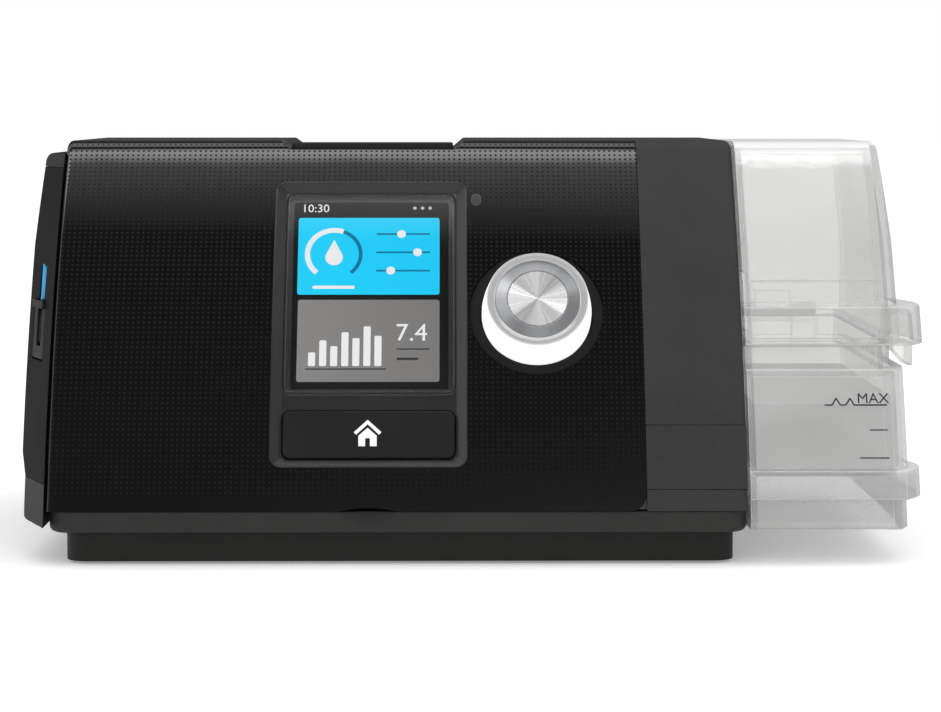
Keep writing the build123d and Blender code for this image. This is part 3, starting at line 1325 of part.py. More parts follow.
def tub_block(x_left, inset, low, high=None, right=TUB_RIGHT, sweep=TUB_STRIP, back=TUB_BACK, bend=0.0):
    """Slice of the tub's outside: straight front, then a side that sweeps round to the back."""
    radius = sweep / (1 - sin(radians(SWEEP_START)))
    turn = (90 - SWEEP_START) / SWEEP_STEPS
    x = right - inset - sweep
    y = 0.0
    with BuildPart() as block:
        extrude(body_section(x_left, inset, low, high, back=DEEP / 2), amount=x - x_left)
        for step in range(SWEEP_STEPS):
            here = radians(SWEEP_START + turn * step)
            there = radians(SWEEP_START + turn * (step + 1))
            dx = radius * (sin(there) - sin(here))
            dy = radius * (cos(here) - cos(there))
            strip = Pos(0, y, 0) * body_section(x, inset, low, high, back=DEEP / 2)
            extrude(strip, amount=hypot(dx, dy), dir=(dx, dy, 0))
            x += dx
            y += dy
        with BuildSketch(Plane.YZ.offset(x_left - 1)):
            with Locations((back - inset, low - 1)):
                Rectangle(DEEP, 3 * HEIGHT, align=(Align.MAX, Align.MIN))
            if bend > 0:
                with Locations((back - inset, HEIGHT - inset)):
                    Rectangle(2 * bend, 2 * bend, mode=Mode.SUBTRACT)
                with Locations((back - inset - bend, HEIGHT - inset - bend)):
                    Circle(bend)
        extrude(amount=DEEP, mode=Mode.INTERSECT)
    return block.part


def lip_plan(right, back_y, low, high):
    """Plan of a grip lip: widest near the front, tapering back into the side."""
    side = TUB_RIGHT - 0.2
    outline = (
        (side - 12, -DEEP / 4),
        (right, -DEEP / 4),
        (right, (back_y + front_y(high)) / 2),
        (side, back_y),
        (side - 12, back_y),
    )
    return plan_prism(outline, low, high)


BEND = 12.0
flange_lip = tub_block(TUB_RIGHT - 12, 0, FLANGE_LOW, FLANGE_TOP, right=FLANGE_RIGHT) & lip_plan(
    FLANGE_RIGHT, FLANGE_LIP_BACK, FLANGE_LOW - 1, FLANGE_TOP + 1
)
knuckle_spots = (TUB_LEFT + 7.9, TUB_LEFT + 15.9, TUB_RIGHT - 17.5, TUB_RIGHT - 9.5)
with BuildPart() as tub_base:
    add(tub_block(TUB_LEFT, FOOT_SET_BACK, TUB_LOW, FLANGE_LOW + 1, right=foot_right))
    fillet(tub_base.faces().sort_by(Axis.Z)[0].edges().filter_by(Axis.X), radius=FOOT_CORNER)
    add(tub_block(TUB_LEFT, 0, FLANGE_LOW, FLANGE_TOP))
    add(flange_lip)
    add(tub_block(TUB_LEFT, TUB_INSET, FLANGE_TOP - 1, WALL_TOP, right=wall_right))
    add(tub_block(TUB_LEFT, neck_inset, WALL_TOP - 1, NECK_TOP))
    add(casing_block(DOCK_LEFT, TUB_LEFT + 1, dock_inset, DOCK_LOW, NECK_TOP - FIT, dock_back))
    for low_x, high_x in (knuckle_spots[:2], knuckle_spots[2:]):
        add(box_between((low_x, high_x), (TUB_BACK - 4, HINGE_Y), (WALL_TOP - 4, NECK_TOP)))
        add(bar_x(low_x, high_x, HINGE_Y, HINGE_Z, KNUCKLE_R))
    wall_high = WALL_TOP - TUB_WALL
    add(
        tub_block(
            tub_inner_left, TUB_INSET + TUB_WALL, RESERVOIR_FLOOR + TUB_WALL, wall_high, right=wall_right
        ),
        mode=Mode.SUBTRACT,
    )
    add(
        tub_block(tub_inner_left, neck_inset + NECK_WALL, wall_high - 1, NECK_TOP + 1),
        mode=Mode.SUBTRACT,
    )
    add(
        tub_block(
            tub_inner_left, FOOT_SET_BACK + TUB_WALL, TUB_LOW - 1, RESERVOIR_FLOOR, right=foot_right
        ),
        mode=Mode.SUBTRACT,
    )
    add(
        casing_block(
            DOCK_LEFT + TUB_WALL,
            TUB_LEFT,
            dock_inset + TUB_WALL,
            DOCK_LOW + TUB_WALL,
            NECK_TOP + 1,
            dock_back,
        ),
        mode=Mode.SUBTRACT,
    )
    add(
        casing_block(
            TUB_LEFT - 1,
            tub_inner_left + 1,
            dock_inset + TUB_WALL,
            RESERVOIR_FLOOR + TUB_WALL,
            WALL_TOP - TUB_WALL,
            dock_back,
        ),
        mode=Mode.SUBTRACT,
    )
    add(
        bar_x(knuckle_spots[0] - 1, knuckle_spots[3] + 1, HINGE_Y, HINGE_Z, HINGE_R + PIN_FIT),
        mode=Mode.SUBTRACT,
    )

with BuildPart() as tub_contact_plate:
    add(
        box_between(
            (PLATE_X[0] + 1, PLATE_X[1] - 1),
            (PLATE_Y[0] + 1, PLATE_Y[1] - 1),
            (DOCK_LOW - CONTACT_THICK, DOCK_LOW),
        )
    )

with BuildPart() as tub_seal:
    add(tub_block(TUB_LEFT + PLACE, neck_inset + PLACE, NECK_TOP, SKIRT_LOW))
    add(
        tub_block(tub_inner_left, neck_inset + NECK_WALL, NECK_TOP - 1, SKIRT_LOW + 1),
        mode=Mode.SUBTRACT,
    )

with BuildPart() as tub_hinge_pins:
    add(bar_x(knuckle_spots[0], knuckle_spots[3], HINGE_Y, HINGE_Z, HINGE_R))

# Deck over the docked half, with the air ports towards the bay's end wall
DECK_LOW = NECK_TOP - FIT + 0.05
DECK_SPLIT_Y = 12.0
DECK_WINDOW = 2.0
deck_right = TUB_LEFT - PLACE
deck_wall = dock_inset + THIN_WALL
deck_high = DECK_TOP - THIN_WALL
with BuildPart() as tub_inner_deck:
    add(casing_block(DOCK_LEFT, deck_right, dock_inset, DECK_LOW, DECK_TOP, dock_back))
    add(
        casing_block(
            DOCK_LEFT + THIN_WALL, deck_right - THIN_WALL, deck_wall, DECK_LOW - 1, deck_high, dock_back
        ),
        mode=Mode.SUBTRACT,
    )
    add(
        casing_block(
            deck_right - 2 * THIN_WALL,
            deck_right + 1,
            deck_wall + 3,
            DECK_LOW + DECK_WINDOW,
            deck_high - DECK_WINDOW,
            dock_back,
        ),
        mode=Mode.SUBTRACT,
    )
    split_y = (DECK_SPLIT_Y, DECK_SPLIT_Y + THIN_WALL)
    add(box_between((DOCK_LEFT + 1, deck_right), split_y, (DECK_LOW, DECK_TOP - 1)))
    for port_y in port_spots:
        add(
            bar_x(DOCK_LEFT - 1, DOCK_LEFT + 2 * THIN_WALL, port_y, PORT_Z, PORT_RADIUS),
            mode=Mode.SUBTRACT,
        )

# Lid: dome, skirt with a grip lip, and an open left side towards the deck
lid_left = TUB_LEFT + PLACE
lid_inner_left = lid_left + TUB_WALL
lid_floor = SKIRT_LOW + NECK_WALL
RECESS_S = (61.0, 68.0)     # shallow recess low on the dome's front
RECESS_X = (TUB_LEFT + 2.3, TUB_RIGHT - 7.1)
RECESS_DEEP = 0.5
LIP_SWEEP = 5.9


def dome_side(inset, edge):
    """Prism along Y under the dome's right side, which leans in towards a rounded top edge."""
    side = TUB_RIGHT - inset
    with BuildPart() as prism:
        with BuildSketch(Plane.XZ) as outline:
            with BuildLine():
                Polyline(
                    (0, 0),
                    (side, 0),
                    (side, DOME_LEAN_LOW),
                    (side - DOME_LEAN, HEIGHT - inset + SKIRT_PROUD),
                    (0, HEIGHT - inset + SKIRT_PROUD),
                    close=True,
                )
            make_face()
            fillet(outline.vertices().group_by(Axis.Y)[-1].sort_by(Axis.X)[-1], radius=edge)
        extrude(amount=DEEP, both=True)
    return prism.part


with BuildPart() as grip_lip:
    add(tub_block(TUB_RIGHT - 14, 0, SKIRT_LOW, SKIRT_TOP, right=LIP_RIGHT, sweep=LIP_SWEEP))
    add(lip_plan(LIP_RIGHT, LIP_BACK, SKIRT_LOW - 1, SKIRT_TOP + 1), mode=Mode.INTERSECT)
    lip_high = SKIRT_TOP - TUB_WALL
    lip_hollow = tub_block(
        TUB_RIGHT - 12, TUB_WALL, SKIRT_LOW - 1, lip_high, right=LIP_RIGHT, sweep=LIP_SWEEP
    )
    add(
        lip_hollow & lip_plan(LIP_RIGHT - TUB_WALL, LIP_BACK - 2 * TUB_WALL, SKIRT_LOW - 2, SKIRT_TOP),
        mode=Mode.SUBTRACT,
    )

with BuildPart() as tub_lid:
    add(tub_block(lid_left, SKIRT_PROUD, SKIRT_TOP - 1, bend=BEND) & dome_side(SKIRT_PROUD, DOME_EDGE))
    add(tub_block(lid_left, 0, SKIRT_LOW, SKIRT_TOP))
    add(grip_lip.part)
    add(
        box_between(
            (knuckle_spots[1] + FIT, knuckle_spots[2] - FIT),
            (TUB_BACK - 1, HINGE_Y),
            (HINGE_Z + 0.5, HINGE_Z + 7),
        )
    )
    add(bar_x(knuckle_spots[1] + FIT, knuckle_spots[2] - FIT, HINGE_Y, HINGE_Z, KNUCKLE_R))
    dome_inset = SKIRT_PROUD + TUB_WALL
    dome_hollow = tub_block(lid_inner_left, dome_inset, lid_floor, bend=BEND - TUB_WALL)
    add(dome_hollow & dome_side(dome_inset, DOME_EDGE - TUB_WALL), mode=Mode.SUBTRACT)
    add(
        tub_block(tub_inner_left + PLACE, neck_inset + NECK_WALL, SKIRT_LOW - 1, lid_floor + 1),
        mode=Mode.SUBTRACT,
    )
    add(
        casing_block(
            lid_left - 1,
            lid_inner_left + 1,
            deck_wall + 3,
            DECK_LOW + DECK_WINDOW + 2,
            deck_high - DECK_WINDOW,
            dock_back,
        ),
        mode=Mode.SUBTRACT,
    )
    extrude(
        front_band(RECESS_X[0], *RECESS_S, -1, SKIRT_PROUD + RECESS_DEEP),
        amount=RECESS_X[1] - RECESS_X[0],
        mode=Mode.SUBTRACT,
    )
    add(
        bar_x(knuckle_spots[1], knuckle_spots[2], HINGE_Y, HINGE_Z, HINGE_R + PIN_FIT),
        mode=Mode.SUBTRACT,
    )

latch_left = TUB_RIGHT - neck_inset + FIT
latch_front = front_y(SKIRT_LOW) + 10
with BuildPart() as lid_latch_tab:
    with BuildSketch(Plane.XZ.offset(-latch_front)):
        with BuildLine():
            Polyline(
                (latch_left, SKIRT_LOW),
                (TUB_RIGHT + 3, SKIRT_LOW),
                (TUB_RIGHT + 3, SKIRT_LOW - LATCH_DROP + FIT),
                (TUB_RIGHT + 1.6, SKIRT_LOW - LATCH_DROP + FIT),
                (latch_left, SKIRT_LOW - 2),
                close=True,
            )
        make_face()
    extrude(amount=-LATCH_DEEP)

# ---------------------------------------------------------------- blower
VOLUTE_WALL = 2.0
BLADES = 9
BLADE_THICK = 1.4
HUB_RADIUS = 6.0
TUBE_R = 5.4
IMPELLER_LOW = VOLUTE_LOW + VOLUTE_WALL + 2.0
IMPELLER_HIGH = VOLUTE_HIGH - VOLUTE_WALL - 2.0
BACK_PLATE = 1.6
DUCT_IN_X = BLOWER_X + 18.0     # outlet duct starts inside the volute
blower_spot = (BLOWER_X, BLOWER_Y)
duct_root = (DUCT_IN_X, PORT_IN_Y, PORT_Z)
duct_end = (BAY_LEFT - PIN_FIT, PORT_IN_Y, PORT_Z)

with BuildPart() as blower_volute_lower:
    with BuildSketch(Plane.XY.offset(VOLUTE_LOW)):
        with Locations(blower_spot):
            Circle(VOLUTE_RADIUS)
    extrude(amount=VOLUTE_SPLIT - VOLUTE_LOW)
    with BuildSketch(Plane.XY.offset(VOLUTE_LOW + VOLUTE_WALL)):
        with Locations(blower_spot):
            Circle(VOLUTE_RADIUS - VOLUTE_WALL)
    extrude(amount=VOLUTE_SPLIT, mode=Mode.SUBTRACT)
    with BuildSketch(Plane.XY.offset(VOLUTE_LOW)):
        with Locations(blower_spot):
            Circle(INTAKE_RADIUS)
    extrude(amount=2 * VOLUTE_WALL, mode=Mode.SUBTRACT)
    add(rod(duct_root, duct_end, DUCT_RADIUS + PIN_FIT), mode=Mode.SUBTRACT)

with BuildPart() as blower_volute_upper:
    with BuildSketch(Plane.XY.offset(VOLUTE_SPLIT)):
        with Locations(blower_spot):
            Circle(VOLUTE_RADIUS)
    extrude(amount=VOLUTE_HIGH - VOLUTE_SPLIT)
    with BuildSketch(Plane.XY.offset(VOLUTE_SPLIT)):
        with Locations(blower_spot):
            Circle(VOLUTE_RADIUS - VOLUTE_WALL)
    extrude(amount=VOLUTE_HIGH - VOLUTE_WALL - VOLUTE_SPLIT, mode=Mode.SUBTRACT)
    with BuildSketch(Plane.XY.offset(VOLUTE_HIGH)):
        with Locations(blower_spot):
            Circle(MOTOR_RADIUS)
            Circle(MOTOR_RADIUS - THIN_WALL, mode=Mode.SUBTRACT)
            Circle(TUBE_R)
    extrude(amount=MOTOR_HIGH - VOLUTE_HIGH)
    with BuildSketch(Plane.XY.offset(VOLUTE_SPLIT)):
        with Locations(blower_spot):
            Circle(ROTOR_SHAFT_R + 2 * FIT)
    extrude(amount=HEIGHT, mode=Mode.SUBTRACT)
    with BuildSketch(Plane.XY.offset(VOLUTE_HIGH)):
        with Locations(blower_spot):
            Circle(BEARING_RADIUS + PIN_FIT / 2)
    extrude(amount=HEIGHT, mode=Mode.SUBTRACT)
    add(rod(duct_root, duct_end, DUCT_RADIUS + PIN_FIT), mode=Mode.SUBTRACT)

with BuildPart() as motor_stator:
    with BuildSketch(Plane.XY.offset(VOLUTE_HIGH + PLACE)):
        with Locations(blower_spot):
            Circle(STATOR_RADIUS)
            Circle(TUBE_R + PIN_FIT, mode=Mode.SUBTRACT)
            with PolarLocations(STATOR_RADIUS, 6):
                Rectangle(6, 3, mode=Mode.SUBTRACT)
    extrude(amount=MOTOR_HIGH - VOLUTE_HIGH - 2)

with BuildPart() as motor_bearings:
    for bearing_low in (VOLUTE_HIGH, MOTOR_HIGH - BEARING_HEIGHT):
        with BuildSketch(Plane.XY.offset(bearing_low)):
            with Locations(blower_spot):
                Circle(BEARING_RADIUS)
                Circle(ROTOR_SHAFT_R + PIN_FIT, mode=Mode.SUBTRACT)
        extrude(amount=BEARING_HEIGHT)

with BuildPart() as rotor_shaft:
    with BuildSketch(Plane.XY.offset(IMPELLER_LOW)):
        with Locations(blower_spot):
            Circle(ROTOR_SHAFT_R)
    extrude(amount=MOTOR_HIGH - IMPELLER_LOW)

with BuildPart() as impeller:
    with BuildSketch(Plane.XY.offset(IMPELLER_HIGH - BACK_PLATE)):
        with Locations(blower_spot):
            Circle(IMPELLER_RADIUS)
    extrude(amount=BACK_PLATE)
    with BuildSketch(Plane.XY.offset(IMPELLER_LOW)):
        with Locations(blower_spot):
            Circle(HUB_RADIUS)
    extrude(amount=IMPELLER_HIGH - IMPELLER_LOW)
    with BuildSketch(Plane.XY.offset(IMPELLER_LOW)):
        with Locations(blower_spot):
            with PolarLocations((IMPELLER_RADIUS + HUB_RADIUS) / 2, BLADES):
                Rectangle(IMPELLER_RADIUS - HUB_RADIUS + 1, BLADE_THICK)
            Circle(IMPELLER_RADIUS, mode=Mode.INTERSECT)
    extrude(amount=IMPELLER_HIGH - IMPELLER_LOW - BACK_PLATE)
    with BuildSketch(Plane.XY.offset(IMPELLER_LOW)):
        with Locations(blower_spot):
            Circle(ROTOR_SHAFT_R + PIN_FIT / 5)
    extrude(amount=HEIGHT, mode=Mode.SUBTRACT)

# ---------------------------------------------------------------- air path
MUFFLER_WALL = 2.0
FOAM_HIGH = 22.0
LEG_X = (FILTER_X + 2.0, BLOWER_X - VOLUTE_RADIUS - 2.0)    # down-leg of the inlet duct, beside the blower
LEG_Y = (28.0, 58.0)
PLENUM_BACK = BACK_Y - DOOR_THICK - FILTER_THICK - 0.6
SENSOR_BLOCK = (-6.0, 10.0)
muffler_x = (MUFFLER_LEFT, MUFFLER_RIGHT)
muffler_y = (MUFFLER_FRONT, MUFFLER_BACK)

with BuildPart() as muffler_box:
    add(box_between(muffler_x, muffler_y, (MUFFLER_LOW, MUFFLER_HIGH)))
    inner_x = (MUFFLER_LEFT + MUFFLER_WALL, MUFFLER_RIGHT - MUFFLER_WALL)
    inner_y = (MUFFLER_FRONT + MUFFLER_WALL, MUFFLER_BACK - MUFFLER_WALL)
    add(
        box_between(inner_x, inner_y, (MUFFLER_LOW + MUFFLER_WALL, MUFFLER_HIGH - MUFFLER_WALL)),
        mode=Mode.SUBTRACT,
    )
    partition_y = ((inner_y[0], inner_y[1] - 22), (inner_y[0] + 22, inner_y[1]))
    for wall_x, wall_y in zip(PARTITION_X, partition_y):
        add(box_between((wall_x, wall_x + MUFFLER_WALL), wall_y, (MUFFLER_LOW + 1, MUFFLER_HIGH - 1)))
    with BuildSketch(Plane.XY.offset(MUFFLER_HIGH - 2 * MUFFLER_WALL)):
        with Locations(blower_spot):
            Circle(INTAKE_RADIUS)
        with Locations(((LEG_X[0] + LEG_X[1]) / 2, (LEG_Y[0] + inner_y[1]) / 2)):
            Rectangle(LEG_X[1] - LEG_X[0] - 4, inner_y[1] - LEG_Y[0] - 4)
    extrude(amount=3 * MUFFLER_WALL, mode=Mode.SUBTRACT)

with BuildPart() as muffler_foam:
    foam_low = MUFFLER_LOW + MUFFLER_WALL + PLACE
    foam_y = (inner_y[0] + PLACE, inner_y[1] - PLACE)
    foam_left = (inner_x[0], PARTITION_X[0] + MUFFLER_WALL, PARTITION_X[1] + MUFFLER_WALL)
    foam_right = (*PARTITION_X, inner_x[1])
    for low_x, high_x in zip(foam_left, foam_right):
        add(box_between((low_x + PLACE, high_x - PLACE), foam_y, (foam_low, MUFFLER_LOW + FOAM_HIGH)))

with BuildPart() as blower_suspension:
    with BuildSketch(Plane.XY.offset(MUFFLER_HIGH)):
        with Locations(blower_spot):
            Circle(INTAKE_RADIUS + 4)
            Circle(INTAKE_RADIUS, mode=Mode.SUBTRACT)
    extrude(amount=VOLUTE_LOW - MUFFLER_HIGH)
    with BuildSketch(Plane.XY.offset(MUFFLER_HIGH + 2)):
        with Locations(blower_spot):
            Circle(INTAKE_RADIUS + 5)
            Circle(INTAKE_RADIUS + 2.5, mode=Mode.SUBTRACT)
    extrude(amount=VOLUTE_LOW - MUFFLER_HIGH - 4, mode=Mode.SUBTRACT)

plenum_x = (filter_mid[0] - FILTER_WIDTH / 2 + 1.5, filter_mid[0] + FILTER_WIDTH / 2 - 1.5)
plenum_z = (FILTER_Z - FILTER_HEIGHT / 2 + 1.5, FILTER_Z + FILTER_HEIGHT / 2 - 1.5)
with BuildPart() as inlet_duct:
    add(box_between(plenum_x, (LEG_Y[1], PLENUM_BACK), plenum_z))
    add(box_between(LEG_X, LEG_Y, (MUFFLER_HIGH + PLACE, plenum_z[1])))
    add(
        box_between(
            (plenum_x[0] + THIN_WALL, plenum_x[1] - THIN_WALL),
            (LEG_Y[1] + THIN_WALL, PLENUM_BACK + 1),
            (plenum_z[0] + THIN_WALL, plenum_z[1] - THIN_WALL),
        ),
        mode=Mode.SUBTRACT,
    )
    add(
        box_between(
            (LEG_X[0] + THIN_WALL, LEG_X[1] - THIN_WALL),
            (LEG_Y[0] + THIN_WALL, LEG_Y[1] + 2 * THIN_WALL),
            (MUFFLER_HIGH + THIN_WALL, plenum_z[1] - THIN_WALL),
        ),
        mode=Mode.SUBTRACT,
    )
    add(
        box_between(
            (LEG_X[0] + THIN_WALL, LEG_X[1] - THIN_WALL),
            (LEG_Y[0] + THIN_WALL, inner_y[1] - THIN_WALL),
            (MUFFLER_HIGH - 1, MUFFLER_HIGH + 2 * THIN_WALL),
        ),
        mode=Mode.SUBTRACT,
    )

with BuildPart() as blower_outlet_duct:
    add(rod(duct_root, duct_end, DUCT_RADIUS))
    add(
        box_between(
            SENSOR_BLOCK,
            (PORT_IN_Y - DUCT_RADIUS + 2, PORT_IN_Y + DUCT_RADIUS - 2),
            (PORT_Z, PORT_Z + DUCT_RADIUS + 1),
        )
    )
    add(
        bar_x(DUCT_IN_X - 1, BAY_LEFT + 1, PORT_IN_Y, PORT_Z, DUCT_RADIUS - THIN_WALL),
        mode=Mode.SUBTRACT,
    )

with BuildPart() as flow_sensor:
    sensor_z = PORT_Z + DUCT_RADIUS + 1
    add(
        box_between(
            (SENSOR_BLOCK[0] + 1, SENSOR_BLOCK[1] - 1),
            (PORT_IN_Y - 5, PORT_IN_Y + 5),
            (sensor_z, sensor_z + 4),
        )
    )

elbow = (OUTLET_X, PORT_OUT_Y, PORT_Z)
duct_tail = (OUTLET_X, cup_floor, PORT_Z)
dock_end = (BAY_LEFT - PIN_FIT, PORT_OUT_Y, PORT_Z)
with BuildPart() as outlet_duct:
    add(rod(dock_end, elbow, DUCT_RADIUS))
    add(rod(elbow, duct_tail, DUCT_RADIUS))
    with Locations(elbow):
        Sphere(DUCT_RADIUS)
    add(rod((BAY_LEFT + 1, PORT_OUT_Y, PORT_Z), elbow, DUCT_RADIUS - THIN_WALL), mode=Mode.SUBTRACT)
    add(rod(elbow, (OUTLET_X, cup_floor + 1, PORT_Z), DUCT_RADIUS - THIN_WALL), mode=Mode.SUBTRACT)
    with Locations(elbow):
        Sphere(DUCT_RADIUS - THIN_WALL, mode=Mode.SUBTRACT)

# Hose connector: pulls straight out of its seat in the duct
SEAL_FACE = 1.0
CONNECTOR_TAPER = 0.3
spigot_radius = DUCT_RADIUS - THIN_WALL - PIN_FIT
with BuildPart() as outlet_connector:
    with BuildSketch(Plane.XZ.offset(-cup_floor - SEAL_FACE)):
        with Locations((OUTLET_X, PORT_Z)):
            Circle(OUTLET_RADIUS)
    extrude(amount=-(BACK_Y - cup_floor - SEAL_FACE))
    chamfer(outlet_connector.faces().sort_by(Axis.Y)[-1].edges(), length=CONNECTOR_TAPER)
    add(bar_y(OUTLET_X, cup_floor - SPIGOT, cup_floor + SEAL_FACE + 1, PORT_Z, spigot_radius))
    add(
        bar_y(OUTLET_X, cup_floor + SEAL_FACE + 2.5, BACK_Y + 1, PORT_Z, OUTLET_BORE),
        mode=Mode.SUBTRACT,
    )
    add(
        bar_y(OUTLET_X, cup_floor - SPIGOT - 1, BACK_Y, PORT_Z, spigot_radius - THIN_WALL),
        mode=Mode.SUBTRACT,
    )

with BuildPart() as outlet_seal:
    with BuildSketch(Plane.XZ.offset(-cup_floor)):
        with Locations((OUTLET_X, PORT_Z)):
            Circle(OUTLET_RADIUS - 0.5)
            Circle(spigot_radius + PIN_FIT, mode=Mode.SUBTRACT)
    extrude(amount=-SEAL_FACE + PIN_FIT)

# ---------------------------------------------------------------- covers, power inlet, clip
def door_panel(axis, width, height, z, along):
    """Door with a round hinge edge and two pintles, swinging about a vertical axis."""
    half = DOOR_THICK / 2
    with BuildPart() as door:
        with Locations((axis[0] + along[0] * (width / 2), axis[1] + along[1] * (width / 2), z)):
            Box(
                abs(along[0]) * width + abs(along[1]) * DOOR_THICK,
                abs(along[1]) * width + abs(along[0]) * DOOR_THICK,
                height,
            )
        with BuildSketch(Plane.XY.offset(z)):
            with Locations(axis):
                Circle(half)
        extrude(amount=height / 2, both=True)
        with BuildSketch(Plane.XY.offset(z)):
            with Locations(axis):
                Circle(PINTLE_R)
        extrude(amount=height / 2 + FIT + PINTLE_LENGTH, both=True)
    return door.part


filter_door_width = FILTER_WIDTH - 2 * FIT - DOOR_THICK / 2
adapter_door_width = ADAPTER_WIDTH - 2 * FIT - DOOR_THICK / 2
PULL_R = 5.0
with BuildPart() as filter_cover:
    add(door_panel(filter_axis, filter_door_width, FILTER_HEIGHT - 2 * FIT, FILTER_Z, (1, 0)))
    door_end = filter_axis[0] + filter_door_width
    for slot in range(7):
        slot_z = FILTER_Z + (slot - 3) * 5.0
        add(
            box_between(
                (filter_axis[0] + 8, door_end - 12), (DEEP / 8, BACK_Y + 1), (slot_z - 1, slot_z + 1)
            ),
            mode=Mode.SUBTRACT,
        )
    add(bar_x(door_end - 3, door_end, BACK_Y + 2.6, FILTER_Z, PULL_R - 1), mode=Mode.SUBTRACT)

with BuildPart() as air_filter:
    add(
        box_between(
            (filter_axis[0] + 3, filter_axis[0] + filter_door_width - 1),
            (PLENUM_BACK + FIT, PLENUM_BACK + FIT + FILTER_THICK),
            (FILTER_Z - FILTER_HEIGHT / 2 + 1, FILTER_Z + FILTER_HEIGHT / 2 - 1),
        )
    )

with BuildPart() as adapter_cover:
    add(door_panel(adapter_axis, adapter_door_width, ADAPTER_HEIGHT - 2 * FIT, ADAPTER_Z, (0, 1)))
    door_end = adapter_axis[1] + adapter_door_width
    add(bar_y(COVER_LEFT - 2.6, door_end - 3, door_end, ADAPTER_Z, PULL_R - 1), mode=Mode.SUBTRACT)

INLET_DEEP = 16.0
SOCKET_R = 4.2
PIN_R = 1.2
with BuildPart() as power_inlet:
    add(
        box_between(
            (INLET_X - INLET_WIDTH / 2, INLET_X + INLET_WIDTH / 2),
            (pocket_floor - INLET_DEEP, pocket_floor + 0.8),
            (INLET_Z - INLET_HEIGHT / 2, INLET_Z + INLET_HEIGHT / 2),
        )
    )
    add(
        box_between(
            (INLET_X - INLET_WIDTH / 2 - 2, INLET_X + INLET_WIDTH / 2 + 2),
            (pocket_floor - WALL - 2.5, pocket_floor - WALL - PLACE),
            (INLET_Z - INLET_HEIGHT / 2 - 2, INLET_Z + INLET_HEIGHT / 2 + 2),
        )
    )
    socket_end = pocket_floor - INLET_DEEP + 4
    add(bar_y(INLET_X, socket_end, BACK_Y, INLET_Z, SOCKET_R), mode=Mode.SUBTRACT)
    add(bar_y(INLET_X, socket_end - 1, pocket_floor - 2, INLET_Z, PIN_R))

with BuildPart() as retention_clip:
    for side in (-1, 1):
        leg_x = INLET_X + side * clip_leg
        add(
            box_between(
                (leg_x - CLIP_WIRE, leg_x + CLIP_WIRE),
                (clip_axis_y - CLIP_WIRE, clip_axis_y + CLIP_WIRE),
                (clip_axis_z, clip_top + CLIP_WIRE),
            )
        )
        add(bar_x(leg_x - CLIP_WIRE, leg_x + CLIP_WIRE, clip_axis_y, clip_axis_z, CLIP_WIRE))
    add(
        box_between(
            (INLET_X - clip_leg, INLET_X + clip_leg),
            (clip_axis_y - CLIP_WIRE, clip_axis_y + CLIP_WIRE),
            (clip_top - CLIP_WIRE, clip_top + CLIP_WIRE),
        )
    )
    for side in (-1, 1):
        add(
            rod(
                (INLET_X + side * clip_leg, clip_axis_y, clip_axis_z),
                (INLET_X + side * clip_reach, clip_axis_y, clip_axis_z),
                PINTLE_R,
            )
        )

# ---------------------------------------------------------------- export
pieces = {
    "base_plate": base_plate,
    "rubber_feet": rubber_feet,
    "base_screws": base_screws,
    "lower_housing": lower_housing,
    "rear_housing": rear_housing,
    "front_fascia": front_fascia,
    "bay_cover": bay_cover,
    "name_plate_panel": name_plate_panel,
    "side_housing": side_housing,
    "side_cover": side_cover,
    "screen_frame": screen_frame,
    "screen_glass": screen_glass,
    "lcd_module": lcd_module,
    "light_sensor_lens": light_sensor_lens,
    "dial_seat_ring": dial_seat_ring,
    "main_pcb": main_pcb,
    "start_switch_board": switch_board,
    "encoder_body": encoder_body,
    "card_socket": card_socket,
    "blower_volute_lower": blower_volute_lower,
    "blower_volute_upper": blower_volute_upper,
    "motor_stator": motor_stator,
    "motor_bearings": motor_bearings,
    "blower_suspension": blower_suspension,
    "muffler_box": muffler_box,
    "muffler_foam": muffler_foam,
    "inlet_duct": inlet_duct,
    "blower_outlet_duct": blower_outlet_duct,
    "flow_sensor": flow_sensor,
    "outlet_duct": outlet_duct,
    "bay_liner": bay_liner,
    "heater_plate": heater_plate,
    "heater_pad": heater_pad,
    "dock_air_seals": dock_air_seals,
    "power_inlet": power_inlet,
    "outlet_connector": outlet_connector,
    "outlet_seal": outlet_seal,
    "tub_base": tub_base,
    "tub_contact_plate": tub_contact_plate,
    "tub_seal": tub_seal,
    "tub_hinge_pins": tub_hinge_pins,
    "tub_inner_deck": tub_inner_deck,
    "tub_lid": tub_lid,
    "lid_latch_tab": lid_latch_tab,
    "dial_light_ring": dial_light_ring,
    "dial_cap_ring": dial_cap_ring,
    "dial_disc": dial_disc,
    "encoder_shaft": encoder_shaft,
    "encoder_plunger": encoder_plunger,
    "home_button": home_button,
    "start_button": start_button,
    "start_led_lens": start_led_lens,
    "sd_card": sd_card,
    "sd_door": sd_door,
    "adapter_cover": adapter_cover,
    "filter_cover": filter_cover,
    "air_filter": air_filter,
    "retention_clip": retention_clip,
    "rotor_shaft": rotor_shaft,
    "impeller": impeller,
}
os.makedirs("parts", exist_ok=True)
for name, piece in pieces.items():
    piece.part.label = name
    export_step(piece.part, "parts/" + name + ".step")
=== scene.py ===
"""Looks of the bedside breathing-air machine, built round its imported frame."""

import json
import math

